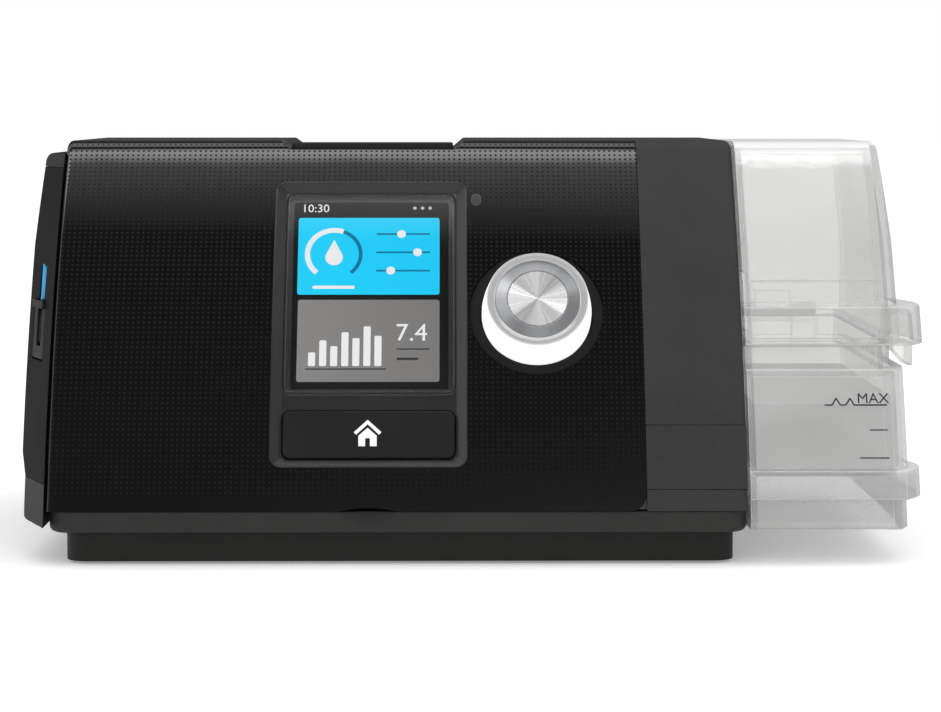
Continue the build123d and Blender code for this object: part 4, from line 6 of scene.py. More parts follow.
import bpy
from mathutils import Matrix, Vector


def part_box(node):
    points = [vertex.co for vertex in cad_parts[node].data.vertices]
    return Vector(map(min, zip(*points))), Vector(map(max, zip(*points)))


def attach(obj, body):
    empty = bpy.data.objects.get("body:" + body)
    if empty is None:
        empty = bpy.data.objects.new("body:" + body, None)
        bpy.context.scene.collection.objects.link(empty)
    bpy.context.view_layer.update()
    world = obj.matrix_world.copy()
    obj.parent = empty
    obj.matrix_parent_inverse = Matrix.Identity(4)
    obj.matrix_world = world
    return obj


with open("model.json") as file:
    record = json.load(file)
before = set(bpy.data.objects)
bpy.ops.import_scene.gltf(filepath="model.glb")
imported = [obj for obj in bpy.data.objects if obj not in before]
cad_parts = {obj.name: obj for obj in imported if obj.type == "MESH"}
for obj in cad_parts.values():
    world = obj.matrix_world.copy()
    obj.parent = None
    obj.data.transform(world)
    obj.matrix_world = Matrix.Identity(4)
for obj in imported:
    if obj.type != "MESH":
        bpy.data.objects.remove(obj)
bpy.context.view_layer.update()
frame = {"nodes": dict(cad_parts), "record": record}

# Places in the frame, in millimetres
ARC_Y, ARC_Z, ARC_R, ARC_LEAN = 208.89, -75.30, 298.0, math.radians(17.7)
DIAL = Vector((17.8, -52.12, 68.51))
DIAL_OUT = Vector((0, -0.87586, 0.48257))
DIAL_UP = Vector((0, 0.48257, 0.87586))
TUB_FOOT = 25.5             # the tub's walls get painted shade below this height
MM = 0.001


# ---------------------------------------------------------------- shader helper
class Graph:
    """Writes the nodes of one material or world."""

    def __init__(self, name, world=None):
        self.block = world or bpy.data.materials.new(name)
        self.block.use_nodes = True
        self.tree = self.block.node_tree
        self.tree.nodes.clear()
        self.output = self.add("ShaderNodeOutputWorld" if world else "ShaderNodeOutputMaterial")

    def feed(self, socket, value):
        if isinstance(value, bpy.types.NodeSocket):
            self.tree.links.new(value, socket)
        else:
            socket.default_value = value

    def add(self, kind, inputs=None, **settings):
        node = self.tree.nodes.new(kind)
        for key, value in settings.items():
            setattr(node, key, value)
        for key, value in (inputs or {}).items():
            self.feed(node.inputs[key], value)
        return node

    def calc(self, operation, first, second=0.0, third=0.0, clamp=False):
        inputs = {0: first, 1: second, 2: third}
        return self.add("ShaderNodeMath", inputs, operation=operation, use_clamp=clamp).outputs[0]

    def vector(self, operation, inputs):
        return self.add("ShaderNodeVectorMath", inputs, operation=operation).outputs[0]

    def length(self, first, second):
        squares = [self.calc("MULTIPLY", value, value) for value in (first, second)]
        return self.calc("SQRT", self.calc("ADD", *squares))

    def remap(self, value, low, high, to_low=0.0, to_high=1.0, smooth=False):
        kind = "SMOOTHSTEP" if smooth else "LINEAR"
        inputs = {0: value, 1: low, 2: high, 3: to_low, 4: to_high}
        return self.add("ShaderNodeMapRange", inputs, interpolation_type=kind).outputs[0]

    def blend(self, factor, first, second):
        node = self.add("ShaderNodeMix", data_type="RGBA")
        for index, value in ((0, factor), (6, first), (7, second)):
            self.feed(node.inputs[index], value)
        return node.outputs[2]

    def place(self):
        """Place in the frame, in millimetres."""
        spot = self.add("ShaderNodeTexCoord").outputs["Object"]
        return self.vector("SCALE", {0: spot, "Scale": 1 / MM})

    def split(self, vector):
        return self.add("ShaderNodeSeparateXYZ", {0: vector}).outputs

    def dot(self, first, second):
        node = self.add("ShaderNodeVectorMath", {0: first, 1: second}, operation="DOT_PRODUCT")
        return node.outputs["Value"]

    def noise(self, vector, scale, detail=2.0, rough=0.5):
        inputs = {"Vector": vector, "Scale": scale, "Detail": detail, "Roughness": rough}
        return self.add("ShaderNodeTexNoise", inputs).outputs[0]

    def bump(self, height, distance, strength=1.0, normal=None):
        inputs = {"Height": height, "Distance": distance * MM, "Strength": strength}
        if normal is not None:
            inputs["Normal"] = normal
        return self.add("ShaderNodeBump", inputs).outputs[0]

    def principled(self, inputs):
        return self.add("ShaderNodeBsdfPrincipled", inputs).outputs[0]

    def mix(self, factor, first, second):
        return self.add("ShaderNodeMixShader", {0: factor, 1: first, 2: second}).outputs[0]

    def facing(self):
        return self.add("ShaderNodeLayerWeight", {"Blend": 0.5}).outputs["Facing"]

    def finish(self, shader):
        self.tree.links.new(shader, self.output.inputs["Surface"])
        return self.block


def grey(value):
    return (value, value, value, 1.0)


def scaled(colour, factor):
    return (*(min(channel * factor, 1.0) for channel in colour[:3]), 1.0)


# ---------------------------------------------------------------- materials
def plastic(name, colour, rough, grain=0.02, size=0.35, spread=0.12, specular=0.12, edge=0.35):
    """Moulded plastic: broad shade changes, a fine spark texture and softened edges."""
    g = Graph(name)
    spot = g.place()
    rounded = g.add("ShaderNodeBevel", {"Radius": edge * MM}, samples=4).outputs[0]
    broad = g.noise(spot, 0.045, 3.0)
    fine = g.noise(spot, 1 / size, 1.0)
    tint = g.blend(g.remap(broad, 0.3, 0.7), scaled(colour, 1 - spread), scaled(colour, 1 + spread))
    speck = g.blend(g.remap(fine, 0.35, 0.75, 0.0, 0.5), tint, scaled(colour, 1.5))
    shine = g.remap(broad, 0.3, 0.7, rough * 0.92, rough * 1.08)
    inputs = {"Base Color": speck, "Roughness": shine, "Normal": g.bump(fine, grain, normal=rounded)}
    inputs["Specular IOR Level"] = specular
    return g.finish(g.principled(inputs))


def metal(name, colour, rough, grain=0.004, stretch=(1.0, 1.0, 12.0)):
    """Metal with fine stretched marks."""
    g = Graph(name)
    spot = g.place()
    drawn = g.vector("MULTIPLY", {0: spot, 1: stretch})
    fine = g.noise(drawn, 1.3, 4.0, 0.6)
    tint = g.blend(g.remap(fine, 0.3, 0.7), scaled(colour, 0.85), scaled(colour, 1.1))
    inputs = {"Base Color": tint, "Metallic": 1.0, "Normal": g.bump(fine, grain)}
    inputs["Roughness"] = g.remap(fine, 0.3, 0.7, rough * 0.8, rough * 1.2)
    return g.finish(g.principled(inputs))


def porous(name, colour, cell, depth):
    """Foam or pleated fibre: open cells, with painted shade in their hollows."""
    g = Graph(name)
    spot = g.place()
    cells = g.add("ShaderNodeTexVoronoi", {"Vector": spot, "Scale": 1 / cell}).outputs["Distance"]
    # Painted shade: the cells' hollows are darkened in the colour.
    tint = g.blend(g.remap(cells, 0.1, 0.7), scaled(colour, 0.45), scaled(colour, 1.1))
    return g.finish(g.principled({"Base Color": tint, "Roughness": 0.95, "Normal": g.bump(cells, depth)}))


def dotted_gloss(name):
    """Glossy black with a square grid of small matte dots on the front."""
    g = Graph(name)
    spot = g.place()
    x, y, z = g.split(spot)
    angle = g.calc("ARCTAN2", g.calc("SUBTRACT", z, ARC_Z), g.calc("SUBTRACT", ARC_Y, y))
    along = g.calc("MULTIPLY", g.calc("SUBTRACT", angle, ARC_LEAN), ARC_R)
    pitch = 1.5
    across = g.calc("SUBTRACT", g.calc("FRACT", g.calc("DIVIDE", x, pitch)), 0.5)
    upward = g.calc("SUBTRACT", g.calc("FRACT", g.calc("DIVIDE", along, pitch)), 0.5)
    dot = g.remap(g.length(across, upward), 0.19, 0.25, 1.0, 0.0, smooth=True)
    dot = g.calc("MULTIPLY", dot, g.remap(along, 3.5, 5.0))
    wave = g.noise(spot, 0.05, 1.0)
    tint = g.blend(dot, (0.0030, 0.0029, 0.0029, 1), (0.0085, 0.0082, 0.0080, 1))
    inputs = {"Base Color": tint, "Normal": g.bump(wave, 0.06, 0.5), "IOR": 1.5}
    inputs["Roughness"] = g.remap(dot, 0.0, 1.0, 0.04, 0.6)
    inputs["Specular IOR Level"] = g.remap(dot, 0.0, 1.0, 0.5, 0.10)
    return g.finish(g.principled(inputs))


def see_through(
    name,
    tint,
    milk,
    shine=0.03,
    cloud=0.0,
    edge=0.55,
    wavy=0.06,
    body=0.78,
    painted_upper_tone=None,
    foot=None,
    painted_highlight=0.0,
):
    """Clear plastic or glass: darker edge-on, milky, with painted highlights whitening its edges and upper
    faces, painted shade under its foot height and a painted grey glow past many layers.
    """
    g = Graph(name)
    spot = g.place()
    facing = g.facing()
    depth = g.add("ShaderNodeLightPath").outputs["Transparent Depth"]
    front = g.remap(depth, 1.5, 3.5, 1.0, 0.25)
    grazing = g.calc("POWER", facing, 5.0)
    mirror = g.calc("ADD", g.calc("MULTIPLY", grazing, 0.3), 0.05, clamp=True)
    mirror = g.calc("MULTIPLY", mirror, front)
    rounded = g.add("ShaderNodeBevel", {"Radius": 0.6 * MM}, samples=4).outputs[0]
    normal = g.bump(g.noise(spot, 0.12, 2.0), wavy, 0.5, rounded)
    dark = g.calc("MULTIPLY", g.remap(g.calc("POWER", facing, 2.2), 0.0, 1.0, 0.0, edge), front)
    if foot:
        # Painted shade: the first walls are tinted darker under the foot height.
        below = g.remap(g.split(spot)[2], foot - 1.5, foot, 1.0, 0.0)
        below = g.calc("MULTIPLY", below, g.remap(depth, 1.5, 2.5, 1.0, 0.0))
        tint = g.blend(below, tint, scaled(tint, 0.76))
    clear = g.add("ShaderNodeBsdfTransparent", {"Color": g.blend(dark, tint, grey(0.22))}).outputs[0]
    flat = g.add("ShaderNodeNewGeometry").outputs["Normal"]
    # Painted highlight: rounded edges and upward faces are whitened, and upward faces take a lighter
    # painted tone.
    upward = g.remap(g.split(flat)[2], 0.64, 0.8)
    lift = g.calc("MULTIPLY", g.remap(g.dot(flat, rounded), 0.99, 0.80, 0.0, 1.0), painted_highlight)
    lift = g.calc("MAXIMUM", lift, g.calc("MULTIPLY", upward, painted_highlight))
    shade = g.blend(upward, grey(body), grey(painted_upper_tone or body))
    white = g.add("ShaderNodeBsdfDiffuse", {"Color": shade, "Normal": normal}).outputs[0]
    haze = g.remap(g.noise(spot, 0.022, 2.0, 0.5), 0.35, 0.65, milk, milk + cloud)
    haze = g.calc("MULTIPLY", g.calc("ADD", haze, lift), front, clamp=True)
    inside = g.mix(haze, clear, white)
    polish = {"Color": grey(1.0), "Roughness": shine, "Normal": normal}
    gloss = g.add("ShaderNodeBsdfGlossy", polish).outputs[0]
    surface = g.mix(mirror, inside, gloss)
    # Painted glow: past many layers the walls give off flat grey light in place of what shows through them.
    painted_deep_glow = g.add("ShaderNodeEmission", {"Color": grey(0.62), "Strength": 1.0}).outputs[0]
    return g.finish(g.mix(g.calc("GREATER_THAN", depth, 6.5), surface, painted_deep_glow))


def lit(name, colour, strength=1.0, spread=0.05, ramp=0.0):
    """Shines by itself, with a faint grain and an optional fade from its left side to its right."""
    g = Graph(name)
    spot = g.place()
    fine = g.noise(spot, 4.0, 1.0)
    tint = g.blend(g.remap(fine, 0.3, 0.7), scaled(colour, 1 - spread), scaled(colour, 1 + spread))
    fade = g.remap(g.split(spot)[0], -50.0, -10.0, strength * (1 + ramp), strength * (1 - ramp))
    return g.finish(g.add("ShaderNodeEmission", {"Color": tint, "Strength": fade}).outputs[0])


def light_ring(name):
    """Clear white skirt, bright at its foot and greyer at its rim."""
    g = Graph(name)
    spot = g.place()
    shifted = g.vector("SUBTRACT", {0: spot, 1: DIAL})
    height = g.dot(shifted, DIAL_OUT)
    rim = g.remap(height, 7.9, 9.1, 0.0, 1.0, smooth=True)
    glow = g.remap(rim, 0.0, 1.0, 0.9, 0.0)
    fine = g.noise(spot, 2.0, 2.0)
    body = g.blend(rim, grey(0.72), grey(0.40))
    plain = g.principled({"Base Color": body, "Roughness": g.remap(fine, 0.3, 0.7, 0.10, 0.16)})
    shine = g.add("ShaderNodeEmission", {"Color": (0.93, 0.97, 1.0, 1), "Strength": glow}).outputs[0]
    return g.finish(g.add("ShaderNodeAddShader", {0: plain, 1: shine}).outputs[0])


def turned(name, colour, rough, anisotropy, painted_streak, cone, grooved=False):
    """Metal turned about the dial's axis: a cone, or fine grooves with a slope to either side, with radial
    streaks and two darker opposite sectors painted into its colour as reflection.
    """
    g = Graph(name)
    spot = g.place()
    shifted = g.vector("SUBTRACT", {0: spot, 1: DIAL})
    side = g.dot(shifted, (1, 0, 0))
    rise = g.dot(shifted, DIAL_UP)
    angle = g.calc("ARCTAN2", rise, side)
    rings = g.noise(g.add("ShaderNodeCombineXYZ", {"X": g.length(side, rise)}).outputs[0], 7.0, 3.0)
    # Painted reflection: radial streaks by angle and two darker opposite sectors are painted into the
    # colour.
    painted_rays = g.noise(g.add("ShaderNodeCombineXYZ", {"Y": angle}).outputs[0], 6.0, 4.0, 0.7)
    painted_fans = g.calc("ABSOLUTE", g.calc("SINE", g.calc("ADD", angle, 0.35)))
    tint = g.blend(g.remap(painted_rays, 0.35, 0.65), scaled(colour, 1 - painted_streak), scaled(colour, 1 + painted_streak))
    tint = g.blend(g.calc("MULTIPLY", g.calc("POWER", painted_fans, 3.0), painted_streak * 2.2), tint, scaled(colour, 0.35))
    across = {"X": side, "Y": g.calc("MULTIPLY", rise, DIAL_UP.y), "Z": g.calc("MULTIPLY", rise, DIAL_UP.z)}
    across = g.add("ShaderNodeCombineXYZ", across).outputs[0]
    turning = {"vector_type": "VECTOR", "convert_from": "OBJECT", "convert_to": "WORLD"}
    across = g.add("ShaderNodeVectorTransform", {0: across}, **turning).outputs[0]
    outward = g.vector("NORMALIZE", {0: across})
    tangent = g.vector("CROSS_PRODUCT", {0: outward, 1: DIAL_OUT})
    flat = g.add("ShaderNodeNewGeometry").outputs["Normal"]
    slopes = []
    for slope in (cone, -cone if grooved else cone):
        lean = g.vector("SCALE", {0: outward, "Scale": slope})
        tilted = g.vector("NORMALIZE", {0: g.vector("ADD", {0: flat, 1: lean})})
        inputs = {"Base Color": tint, "Metallic": 1.0, "Roughness": rough, "Anisotropic": anisotropy}
        inputs.update({"Tangent": tangent, "Normal": g.bump(rings, 0.004, normal=tilted)})
        slopes.append(g.principled(inputs))
    return g.finish(g.mix(0.5, *slopes))


def card_plastic(name):
    """Dark card with a blue label on the end that shows above the door's height; lower down the end is
    painted dark as shade in the slit.
    """
    g = Graph(name)
    spot = g.place()
    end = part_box("sd_card")[0][0] / MM
    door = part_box("sd_door")[1][2] / MM
    x, _, z = g.split(spot)
    # Painted shade: the blue stops at the door's height, and the end under it keeps the card's dark colour
    # as shade in the slit.
    label = g.calc("MULTIPLY", g.remap(x, end + 1.6, end + 1.8, 1.0, 0.0), g.calc("GREATER_THAN", z, door))
    fine = g.noise(spot, 1.5, 3.0)
    blue = g.blend(g.remap(fine, 0.3, 0.7), (0.04, 0.40, 0.88, 1), (0.06, 0.50, 1.0, 1))
    tint = g.blend(label, (0.012, 0.013, 0.016, 1), blue)
    return g.finish(g.principled({"Base Color": tint, "Roughness": 0.35, "Normal": g.bump(fine, 0.01)}))


MATERIALS = {
    "gloss_black": dotted_gloss("gloss_black"),
    "matte_black": plastic("matte_black", (0.034, 0.034, 0.034), 0.55),
    "rail_black": plastic("rail_black", (0.028, 0.028, 0.027), 0.55),
    "base_black": plastic("base_black", (0.017, 0.0165, 0.0155), 0.5),
    "cover_black": plastic("cover_black", (0.015, 0.0135, 0.0138), 0.5, grain=0.012, specular=0.08),
    "frame_black": plastic("frame_black", (0.017, 0.017, 0.017), 0.33, grain=0.004, specular=0.5, edge=0.6),
    # Painted highlight on the glass's edges.
    "glass_dark": see_through(
        "glass_dark", grey(0.97), 0.0, shine=0.01, edge=0.3, wavy=0.0, painted_highlight=0.10
    ),
    "display": plastic("display", (0.004, 0.0035, 0.0035), 0.4, grain=0.002, specular=0.05),
    "clear_tub": see_through(
        "clear_tub",
        (0.93, 0.927, 0.922, 1),
        0.18,
        cloud=0.10,
        edge=0.5,
        # Painted highlight: lighter upper faces and whitened edges on the tub.
        painted_upper_tone=0.92,
        # Painted shade near the tub's foot.
        foot=TUB_FOOT,
        painted_highlight=0.55,
    ),
    "light_white": light_ring("light_white"),
    # Painted reflection: radial streaks and darker sectors on both turned metals.
    "ring_steel": turned("ring_steel", (0.43, 0.435, 0.45), 0.30, 0.5, 0.05, cone=0.5),
    "disc_aluminium": turned("disc_aluminium", (0.90, 0.90, 0.91), 0.26, 0.7, 0.22, cone=0.5, grooved=True),
    "shaft_steel": metal("shaft_steel", (0.45, 0.45, 0.47), 0.25),
    "rubber_dark": plastic("rubber_dark", (0.0105, 0.0105, 0.011), 0.8, grain=0.01),
    "rubber_clear": see_through("rubber_clear", grey(0.8), 0.45, shine=0.3),
    "screw_steel": metal("screw_steel", (0.18, 0.18, 0.19), 0.4),
    "board_green": plastic("board_green", (0.010, 0.075, 0.035), 0.35, grain=0.01, size=1.4, spread=0.3),
    "socket_steel": metal("socket_steel", (0.5, 0.5, 0.51), 0.3, stretch=(12.0, 1.0, 1.0)),
    "inner_grey": plastic("inner_grey", (0.30, 0.31, 0.32), 0.5),
    "inner_white": plastic("inner_white", (0.72, 0.72, 0.70), 0.45, spread=0.05),
    "copper": metal("copper", (0.50, 0.19, 0.07), 0.35, grain=0.06, stretch=(1.0, 1.0, 3.0)),
    "foam_grey": porous("foam_grey", (0.07, 0.072, 0.08), 1.1, 0.5),
    "filter_white": porous("filter_white", (0.80, 0.81, 0.80), 0.7, 0.2),
    "heater_alloy": metal("heater_alloy", (0.48, 0.49, 0.5), 0.4, stretch=(1.0, 10.0, 1.0)),
    "card_blue": card_plastic("card_blue"),
    "lamp_green": plastic("lamp_green", (0.03, 0.22, 0.06), 0.3, grain=0.004),
}
OWN_LOOK = {
    "home_button": plastic("button_black", (0.014, 0.014, 0.014), 0.5, grain=0.008, edge=0.6),
    "light_sensor_lens": plastic(
        "window_black", (0.03, 0.03, 0.032), 0.12, grain=0.0, specular=0.6, edge=0.5
    ),
    "side_cover": plastic("side_black", (0.012, 0.0110, 0.0112), 0.55, grain=0.012, specular=0.02),
    "tub_hinge_pins": plastic("pin_bright", (0.66, 0.66, 0.65), 0.3, grain=0.002, specular=0.5),
}
for entry in frame["record"]["subparts"]:
    slots = frame["nodes"][entry["node"]].data.materials
    slots.clear()
    slots.append(OWN_LOOK.get(entry["node"], MATERIALS[entry["material_slot"]]))

BLUE = lit("tile_blue", (0.010, 0.63, 1.0), 1.12, ramp=0.03)
TILE_GREY = lit("tile_grey", (0.235, 0.230, 0.225), 1.06, ramp=0.12)
INK = lit("ink_white", (0.95, 0.97, 1.0), 1.0)
SOFT_INK = lit("ink_soft", (0.55, 0.56, 0.58), 1.0)
DEEP_BLUE = lit("ink_deep_blue", (0.004, 0.20, 0.42), 1.0)
CHARCOAL = lit("ink_charcoal", (0.045, 0.045, 0.05), 1.0)
PRINT = plastic("print_grey", (0.022, 0.022, 0.024), 0.5, grain=0.002)
ICON = plastic("icon_white", (0.86, 0.86, 0.86), 0.4, grain=0.002)


# ---------------------------------------------------------------- flat shapes
def bar(x_low, x_high, low, high, corner=0.0, steps=5):
    """Rectangle, rounded when a corner radius is given."""
    if corner <= 0:
        return [(x_low, low), (x_high, low), (x_high, high), (x_low, high)]
    centres = (
        (x_high - corner, high - corner, 0),
        (x_low + corner, high - corner, 90),
        (x_low + corner, low + corner, 180),
        (x_high - corner, low + corner, 270),
    )
    points = []
    for cx, cy, start in centres:
        for step in range(steps + 1):
            turn = math.radians(start + 90 * step / steps)
            points.append((cx + corner * math.cos(turn), cy + corner * math.sin(turn)))
    return points


def disc(cx, cy, radius, steps=28):
    turns = [2 * math.pi * step / steps for step in range(steps)]
    return [(cx + radius * math.cos(turn), cy + radius * math.sin(turn)) for turn in turns]


def arc_band(cx, cy, radius, width, start, end, steps=30):
    """Slices of a ring between two angles, in degrees."""
    loops = []
    for step in range(steps):
        a = math.radians(start + (end - start) * step / steps)
        b = math.radians(start + (end - start) * (step + 1) / steps)
        inner, outer = radius - width / 2, radius + width / 2
        corners = ((inner, a), (outer, a), (outer, b), (inner, b))
        loops.append([(cx + r * math.cos(t), cy + r * math.sin(t)) for r, t in corners])
    return loops


def text_loops(text, left, base, height, widen=1.0):
    """Faces of a line of plain lettering, with its left end and base line placed."""
    curve = bpy.data.curves.new("lettering", "FONT")
    curve.body = text
    curve.resolution_u = 3
    helper = bpy.data.objects.new("lettering", curve)
    mesh = bpy.data.meshes.new_from_object(helper)
    spots = [vertex.co.copy() for vertex in mesh.vertices]
    low_x, high_y = min(p.x for p in spots), max(p.y for p in spots)
    scale = height / high_y
    place = [(left + (p.x - low_x) * scale * widen, base + p.y * scale) for p in spots]
    loops = [[place[index] for index in face.vertices] for face in mesh.polygons]
    bpy.data.objects.remove(helper)
    bpy.data.curves.remove(curve)
    bpy.data.meshes.remove(mesh)
    return loops


def on_display(depth):
    """Display plane: x, and distance up it from the dial's height."""
    return lambda x, v: (DIAL + DIAL_UP * v - DIAL_OUT * depth) * Vector((0, 1, 1)) + Vector((x, 0, 0))


def on_front(depth):
    """Curved front: x, and arc length from its foot."""
    reach = ARC_R - depth

    def place(x, s):
        lean = ARC_LEAN + s / ARC_R
        return Vector((x, ARC_Y - reach * math.cos(lean), ARC_Z + reach * math.sin(lean)))

    return place


def on_wall(depth):
    """Front wall of the tub: x and height."""
    reach = ARC_R - depth
    return lambda x, z: Vector((x, ARC_Y - math.sqrt(reach**2 - (z - ARC_Z) ** 2), z))


def mesh_object(name, points, faces, material, body, slot):
    mesh = bpy.data.meshes.new(name)
    mesh.from_pydata([tuple(point * MM) for point in points], [], faces)
    mesh.materials.append(material)
    mesh.validate()
    obj = bpy.data.objects.new(name, mesh)
    bpy.context.scene.collection.objects.link(obj)
    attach(obj, body)
    return obj


def ink(name, loops, place, material, body="machine", slot="display"):
    """Thin flat marks laid on a surface."""
    points, faces = [], []
    for loop in loops:
        faces.append(tuple(range(len(points), len(points) + len(loop))))
        points.extend(place(*spot) for spot in loop)
    return mesh_object(name, points, faces, material, body, slot)


# ---------------------------------------------------------------- display
tile = on_display(5.62)
mark = on_display(5.56)
top_mark = on_display(5.52)
ink("tile_upper", [bar(-49.9, -9.5, 7.9, 32.2, 0.7)], tile, BLUE)
ink("tile_lower", [bar(-49.6, -9.5, -19.0, 6.3, 0.7)], tile, TILE_GREY)
ink("header_time", text_loops("10:30", -48.4, 34.0, 2.5), mark, INK)
ink("header_dots", [disc(x, 35.3, 0.5) for x in (-16.6, -14.4, -12.2)], mark, SOFT_INK)

gauge = (-39.6, 20.6)
ink("gauge_track", arc_band(*gauge, 7.6, 1.1, -50, 230, 40), mark, DEEP_BLUE)
ink("gauge_level", arc_band(*gauge, 7.6, 1.5, 70, 230, 30), top_mark, INK)
turns = [math.radians(150 + 240 * step / 24) for step in range(25)]
drop = [(gauge[0] + 2.5 * math.cos(turn), gauge[1] - 1.0 + 2.5 * math.sin(turn)) for turn in turns]
ink("gauge_drop", [drop + [(gauge[0], gauge[1] + 4.6)]], mark, INK)
sliders = ((27.0, -20.4), (21.2, -15.8), (15.4, -23.4))
ink("slider_lines", [bar(-27.6, -12.2, v - 0.28, v + 0.28, 0.25) for v, knob in sliders], mark, DEEP_BLUE)
ink("slider_knobs", [disc(knob, v, 1.25) for v, knob in sliders], top_mark, INK)
ink("upper_caption", [bar(-45.6, -33.6, 9.7, 10.7, 0.45)], mark, INK)

bars = (4.2, 7.9, 6.1, 10.4, 8.6, 12.2, 9.3)
chart = [bar(-46.4 + 3.1 * i, -44.4 + 3.1 * i, -14.2, -14.2 + tall, 0.4) for i, tall in enumerate(bars)]
ink("chart_bars", chart, mark, INK)
ink("chart_line", [bar(-47.2, -24.6, -15.3, -14.9)], mark, CHARCOAL)
ink("chart_number", text_loops("7.4", -21.6, -6.4, 5.2), mark, INK)
ink("chart_rule", [bar(-21.6, -12.4, -9.2, -8.8), bar(-21.6, -15.4, -12.4, -11.6, 0.35)], mark, CHARCOAL)

# House glyph on the home button
house = on_front(0.95)
roof = [[(-33.2, 22.6), (-29.35, 26.2), (-29.35, 24.9), (-32.5, 21.9)],
        [(-29.35, 26.2), (-25.5, 22.6), (-26.2, 21.9), (-29.35, 24.9)]]
walls = [bar(-31.9, -30.0, 18.6, 21.6), bar(-28.7, -26.8, 18.6, 21.6), bar(-30.0, -28.7, 20.9, 21.6),
         [(-31.9, 21.6), (-26.8, 21.6), (-29.35, 23.9)]]
ink("home_glyph", roof + walls, house, ICON, "home", "light_white")

# Level marks on the tub
def stroke(points, width):
    """Line of even width through the points."""
    loops = []
    for (x, y), (after_x, after_y) in zip(points, points[1:]):
        long = math.hypot(after_x - x, after_y - y)
        side_x, side_y = (y - after_y) / long * width / 2, (after_x - x) / long * width / 2
        ends = ((x, y, 1), (after_x, after_y, 1), (after_x, after_y, -1), (x, y, -1))
        loops.append([(px + side_x * turn, py + side_y * turn) for px, py, turn in ends])
    return loops


wall = on_wall(0.46)
LEVEL = 43.38
peaks = [(97.3, LEVEL), (99.5, LEVEL), (100.6, LEVEL + 1.8), (101.8, LEVEL), (103.3, LEVEL),
         (104.5, LEVEL + 1.8), (105.6, LEVEL), (114.7, LEVEL)]
ticks = [bar(109.65, 114.64, 36.56, 36.88), bar(106.5, 114.7, 29.13, 29.45)]
marks = stroke(peaks, 0.4) + ticks + text_loops("MAX", 106.7, 43.9, 2.6, 1.1)
ink("tub_marks", marks, wall, PRINT, "tub", "inner_grey")

# ---------------------------------------------------------------- water
WATER_TOP, WATER_LOW, LEVELS = 43.35, 26.1, 9
WATER_LEFT, WATER_CORNER, WATER_RIGHT, WATER_BACK = 78.3, 113.95, 119.55, 59.0
WATER_DEPTH = 2.62          # water's front behind the outside of the tub's front wall
SWEEP = ((0.0, 0.0), (3.04, 4.09), (4.95, 8.81), (5.6, 13.86))


def water_body():
    """Stack of level outlines that follow the tub's curved front wall."""
    points, faces = [], []
    for level in range(LEVELS):
        height = WATER_LOW + (WATER_TOP - WATER_LOW) * level / (LEVELS - 1)
        front = on_wall(WATER_DEPTH)(0, height).y
        corner = [(WATER_CORNER + across, front + back) for across, back in SWEEP]
        outline = [(WATER_LEFT, front), *corner, (WATER_RIGHT, WATER_BACK), (WATER_LEFT, WATER_BACK)]
        points += [Vector((x, y, height)) for x, y in outline]
    count = len(points) // LEVELS
    for level in range(LEVELS - 1):
        under, over = level * count, (level + 1) * count
        for index in range(count):
            after = (index + 1) % count
            faces.append((under + index, under + after, over + after, over + index))
    faces.append(tuple(range(count))[::-1])
    faces.append(tuple(range((LEVELS - 1) * count, LEVELS * count)))
    return points, faces


# Painted highlight: the water's upper face is given a lighter tone than its body.
WATER = see_through(
    "water", (0.88, 0.885, 0.88, 1), 0.9, shine=0.02, cloud=0.08, edge=0.1, body=0.47, painted_upper_tone=0.8
)
mesh_object("water", *water_body(), WATER, "tub", "clear_tub")


# ---------------------------------------------------------------- stage, light and camera
def paper():
    """Pale paper that gives off a little light of its own."""
    g = Graph("floor")
    tint = g.blend(g.noise(g.place(), 0.004, 2.0), grey(0.88), grey(0.90))
    base = g.add("ShaderNodeBsdfDiffuse", {"Color": tint}).outputs[0]
    lift = g.add("ShaderNodeEmission", {"Color": grey(1.0), "Strength": 0.26}).outputs[0]
    return g.finish(g.add("ShaderNodeAddShader", {0: base, 1: lift}).outputs[0])


def background(g, strength):
    return g.add("ShaderNodeBackground", {"Color": grey(1.0), "Strength": strength}).outputs[0]


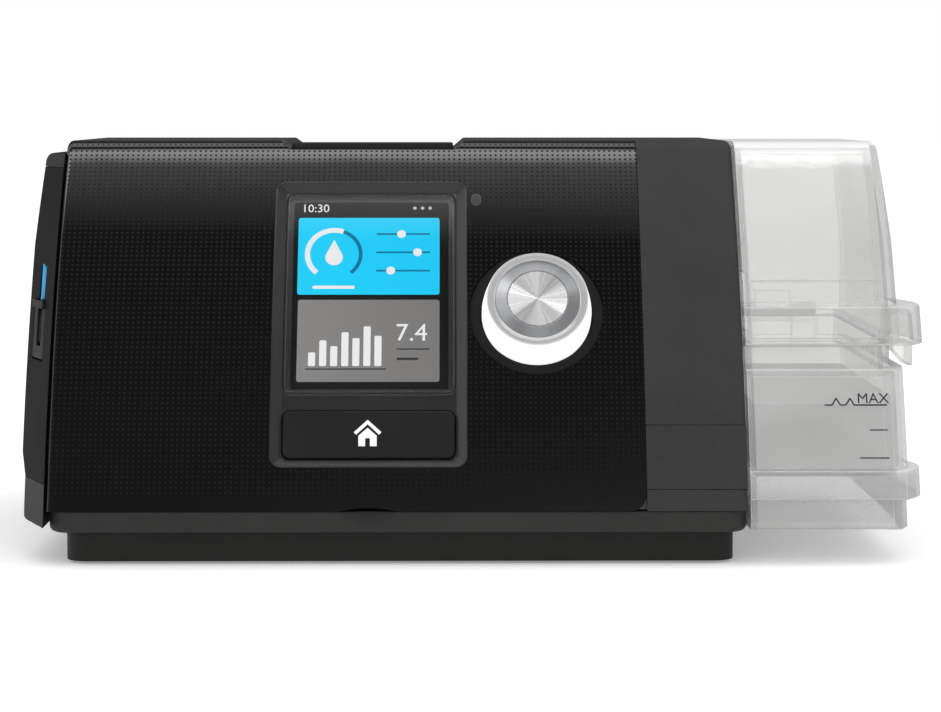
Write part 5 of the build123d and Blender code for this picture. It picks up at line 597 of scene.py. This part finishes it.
def studio(world):
    """White room; mirrored, it is dark ahead with a strip and a panel overhead and a panel to each side."""
    g = Graph("studio", world)
    direction = g.add("ShaderNodeTexCoord").outputs["Generated"]
    dx, dy, dz = g.split(direction)
    rise = g.calc("MULTIPLY", g.calc("ARCTAN2", dz, g.calc("MULTIPLY", dy, -1.0)), 180 / math.pi)
    lean = g.calc("ADD", rise, g.calc("MULTIPLY", dx, 9.0))
    soft = g.noise(g.vector("MULTIPLY", {0: direction, 1: (1.6, 0.8, 1.6)}), 1.4, 1.0)

    ahead = g.remap(lean, 20.0, 58.0, 0.26, 0.09, smooth=True)
    ahead = g.calc("MULTIPLY", ahead, g.remap(soft, 0.3, 0.7, 0.5, 1.6))
    climb = g.calc("ADD", ahead, g.remap(lean, 64.0, 76.0, 0.0, 1.15))
    strip = g.calc("ADD", climb, g.remap(rise, 74.8, 75.9, 0.0, 4.2, smooth=True))
    strip = g.calc("MULTIPLY", strip, g.remap(rise, 82.0, 94.0, 1.0, 0.01, smooth=True))
    above = g.remap(rise, 100.0, 106.0, 0.0, 1.5, smooth=True)
    above = g.calc("MULTIPLY", above, g.remap(rise, 124.0, 132.0, 1.0, 0.03))
    middle = g.calc("ADD", strip, above)

    aside = g.remap(g.calc("ABSOLUTE", dx), 0.55, 0.70, 0.0, 1.0, smooth=True)
    flank = g.remap(dx, -0.1, 0.1, 1.1, 0.42)
    middle = g.calc("MULTIPLY", middle, g.calc("SUBTRACT", 1.0, aside))
    mirror = g.calc("ADD", middle, g.calc("MULTIPLY", aside, flank))

    path = g.add("ShaderNodeLightPath").outputs
    inner = g.mix(path["Is Glossy Ray"], background(g, 0.92), background(g, mirror))
    g.finish(g.mix(path["Is Camera Ray"], inner, background(g, 1.0)))


floor_mesh = bpy.data.meshes.new("floor")
floor_mesh.from_pydata([(-6, -4, 0), (6, -4, 0), (6, 9, 0), (-6, 9, 0)], [], [(0, 1, 2, 3)])
floor_mesh.materials.append(paper())
floor = bpy.data.objects.new("floor", floor_mesh)
bpy.context.scene.collection.objects.link(floor)

world = bpy.data.worlds.new("studio")
bpy.context.scene.world = world
studio(world)

lamp = bpy.data.lights.new("softbox", "AREA")
lamp.shape, lamp.size, lamp.size_y, lamp.energy = "RECTANGLE", 1.8, 1.2, 5.0
softbox = bpy.data.objects.new("softbox", lamp)
softbox.location = (0.25, -0.45, 1.30)
softbox.rotation_euler = (Vector((0, 0, 0.04)) - softbox.location).to_track_quat("-Z", "Y").to_euler()
softbox.visible_glossy = False
bpy.context.scene.collection.objects.link(softbox)

lens = bpy.data.cameras.new("camera")
lens.sensor_width, lens.lens = 36.0, 103.29
camera = bpy.data.objects.new("camera", lens)
camera.location = (-0.0069, -0.8079, 0.1256)
camera.rotation_euler = (math.radians(90 - 5.26), 0, math.radians(-0.464))
bpy.context.scene.collection.objects.link(camera)
bpy.context.scene.camera = camera
bpy.context.scene.view_settings.view_transform = "Standard"
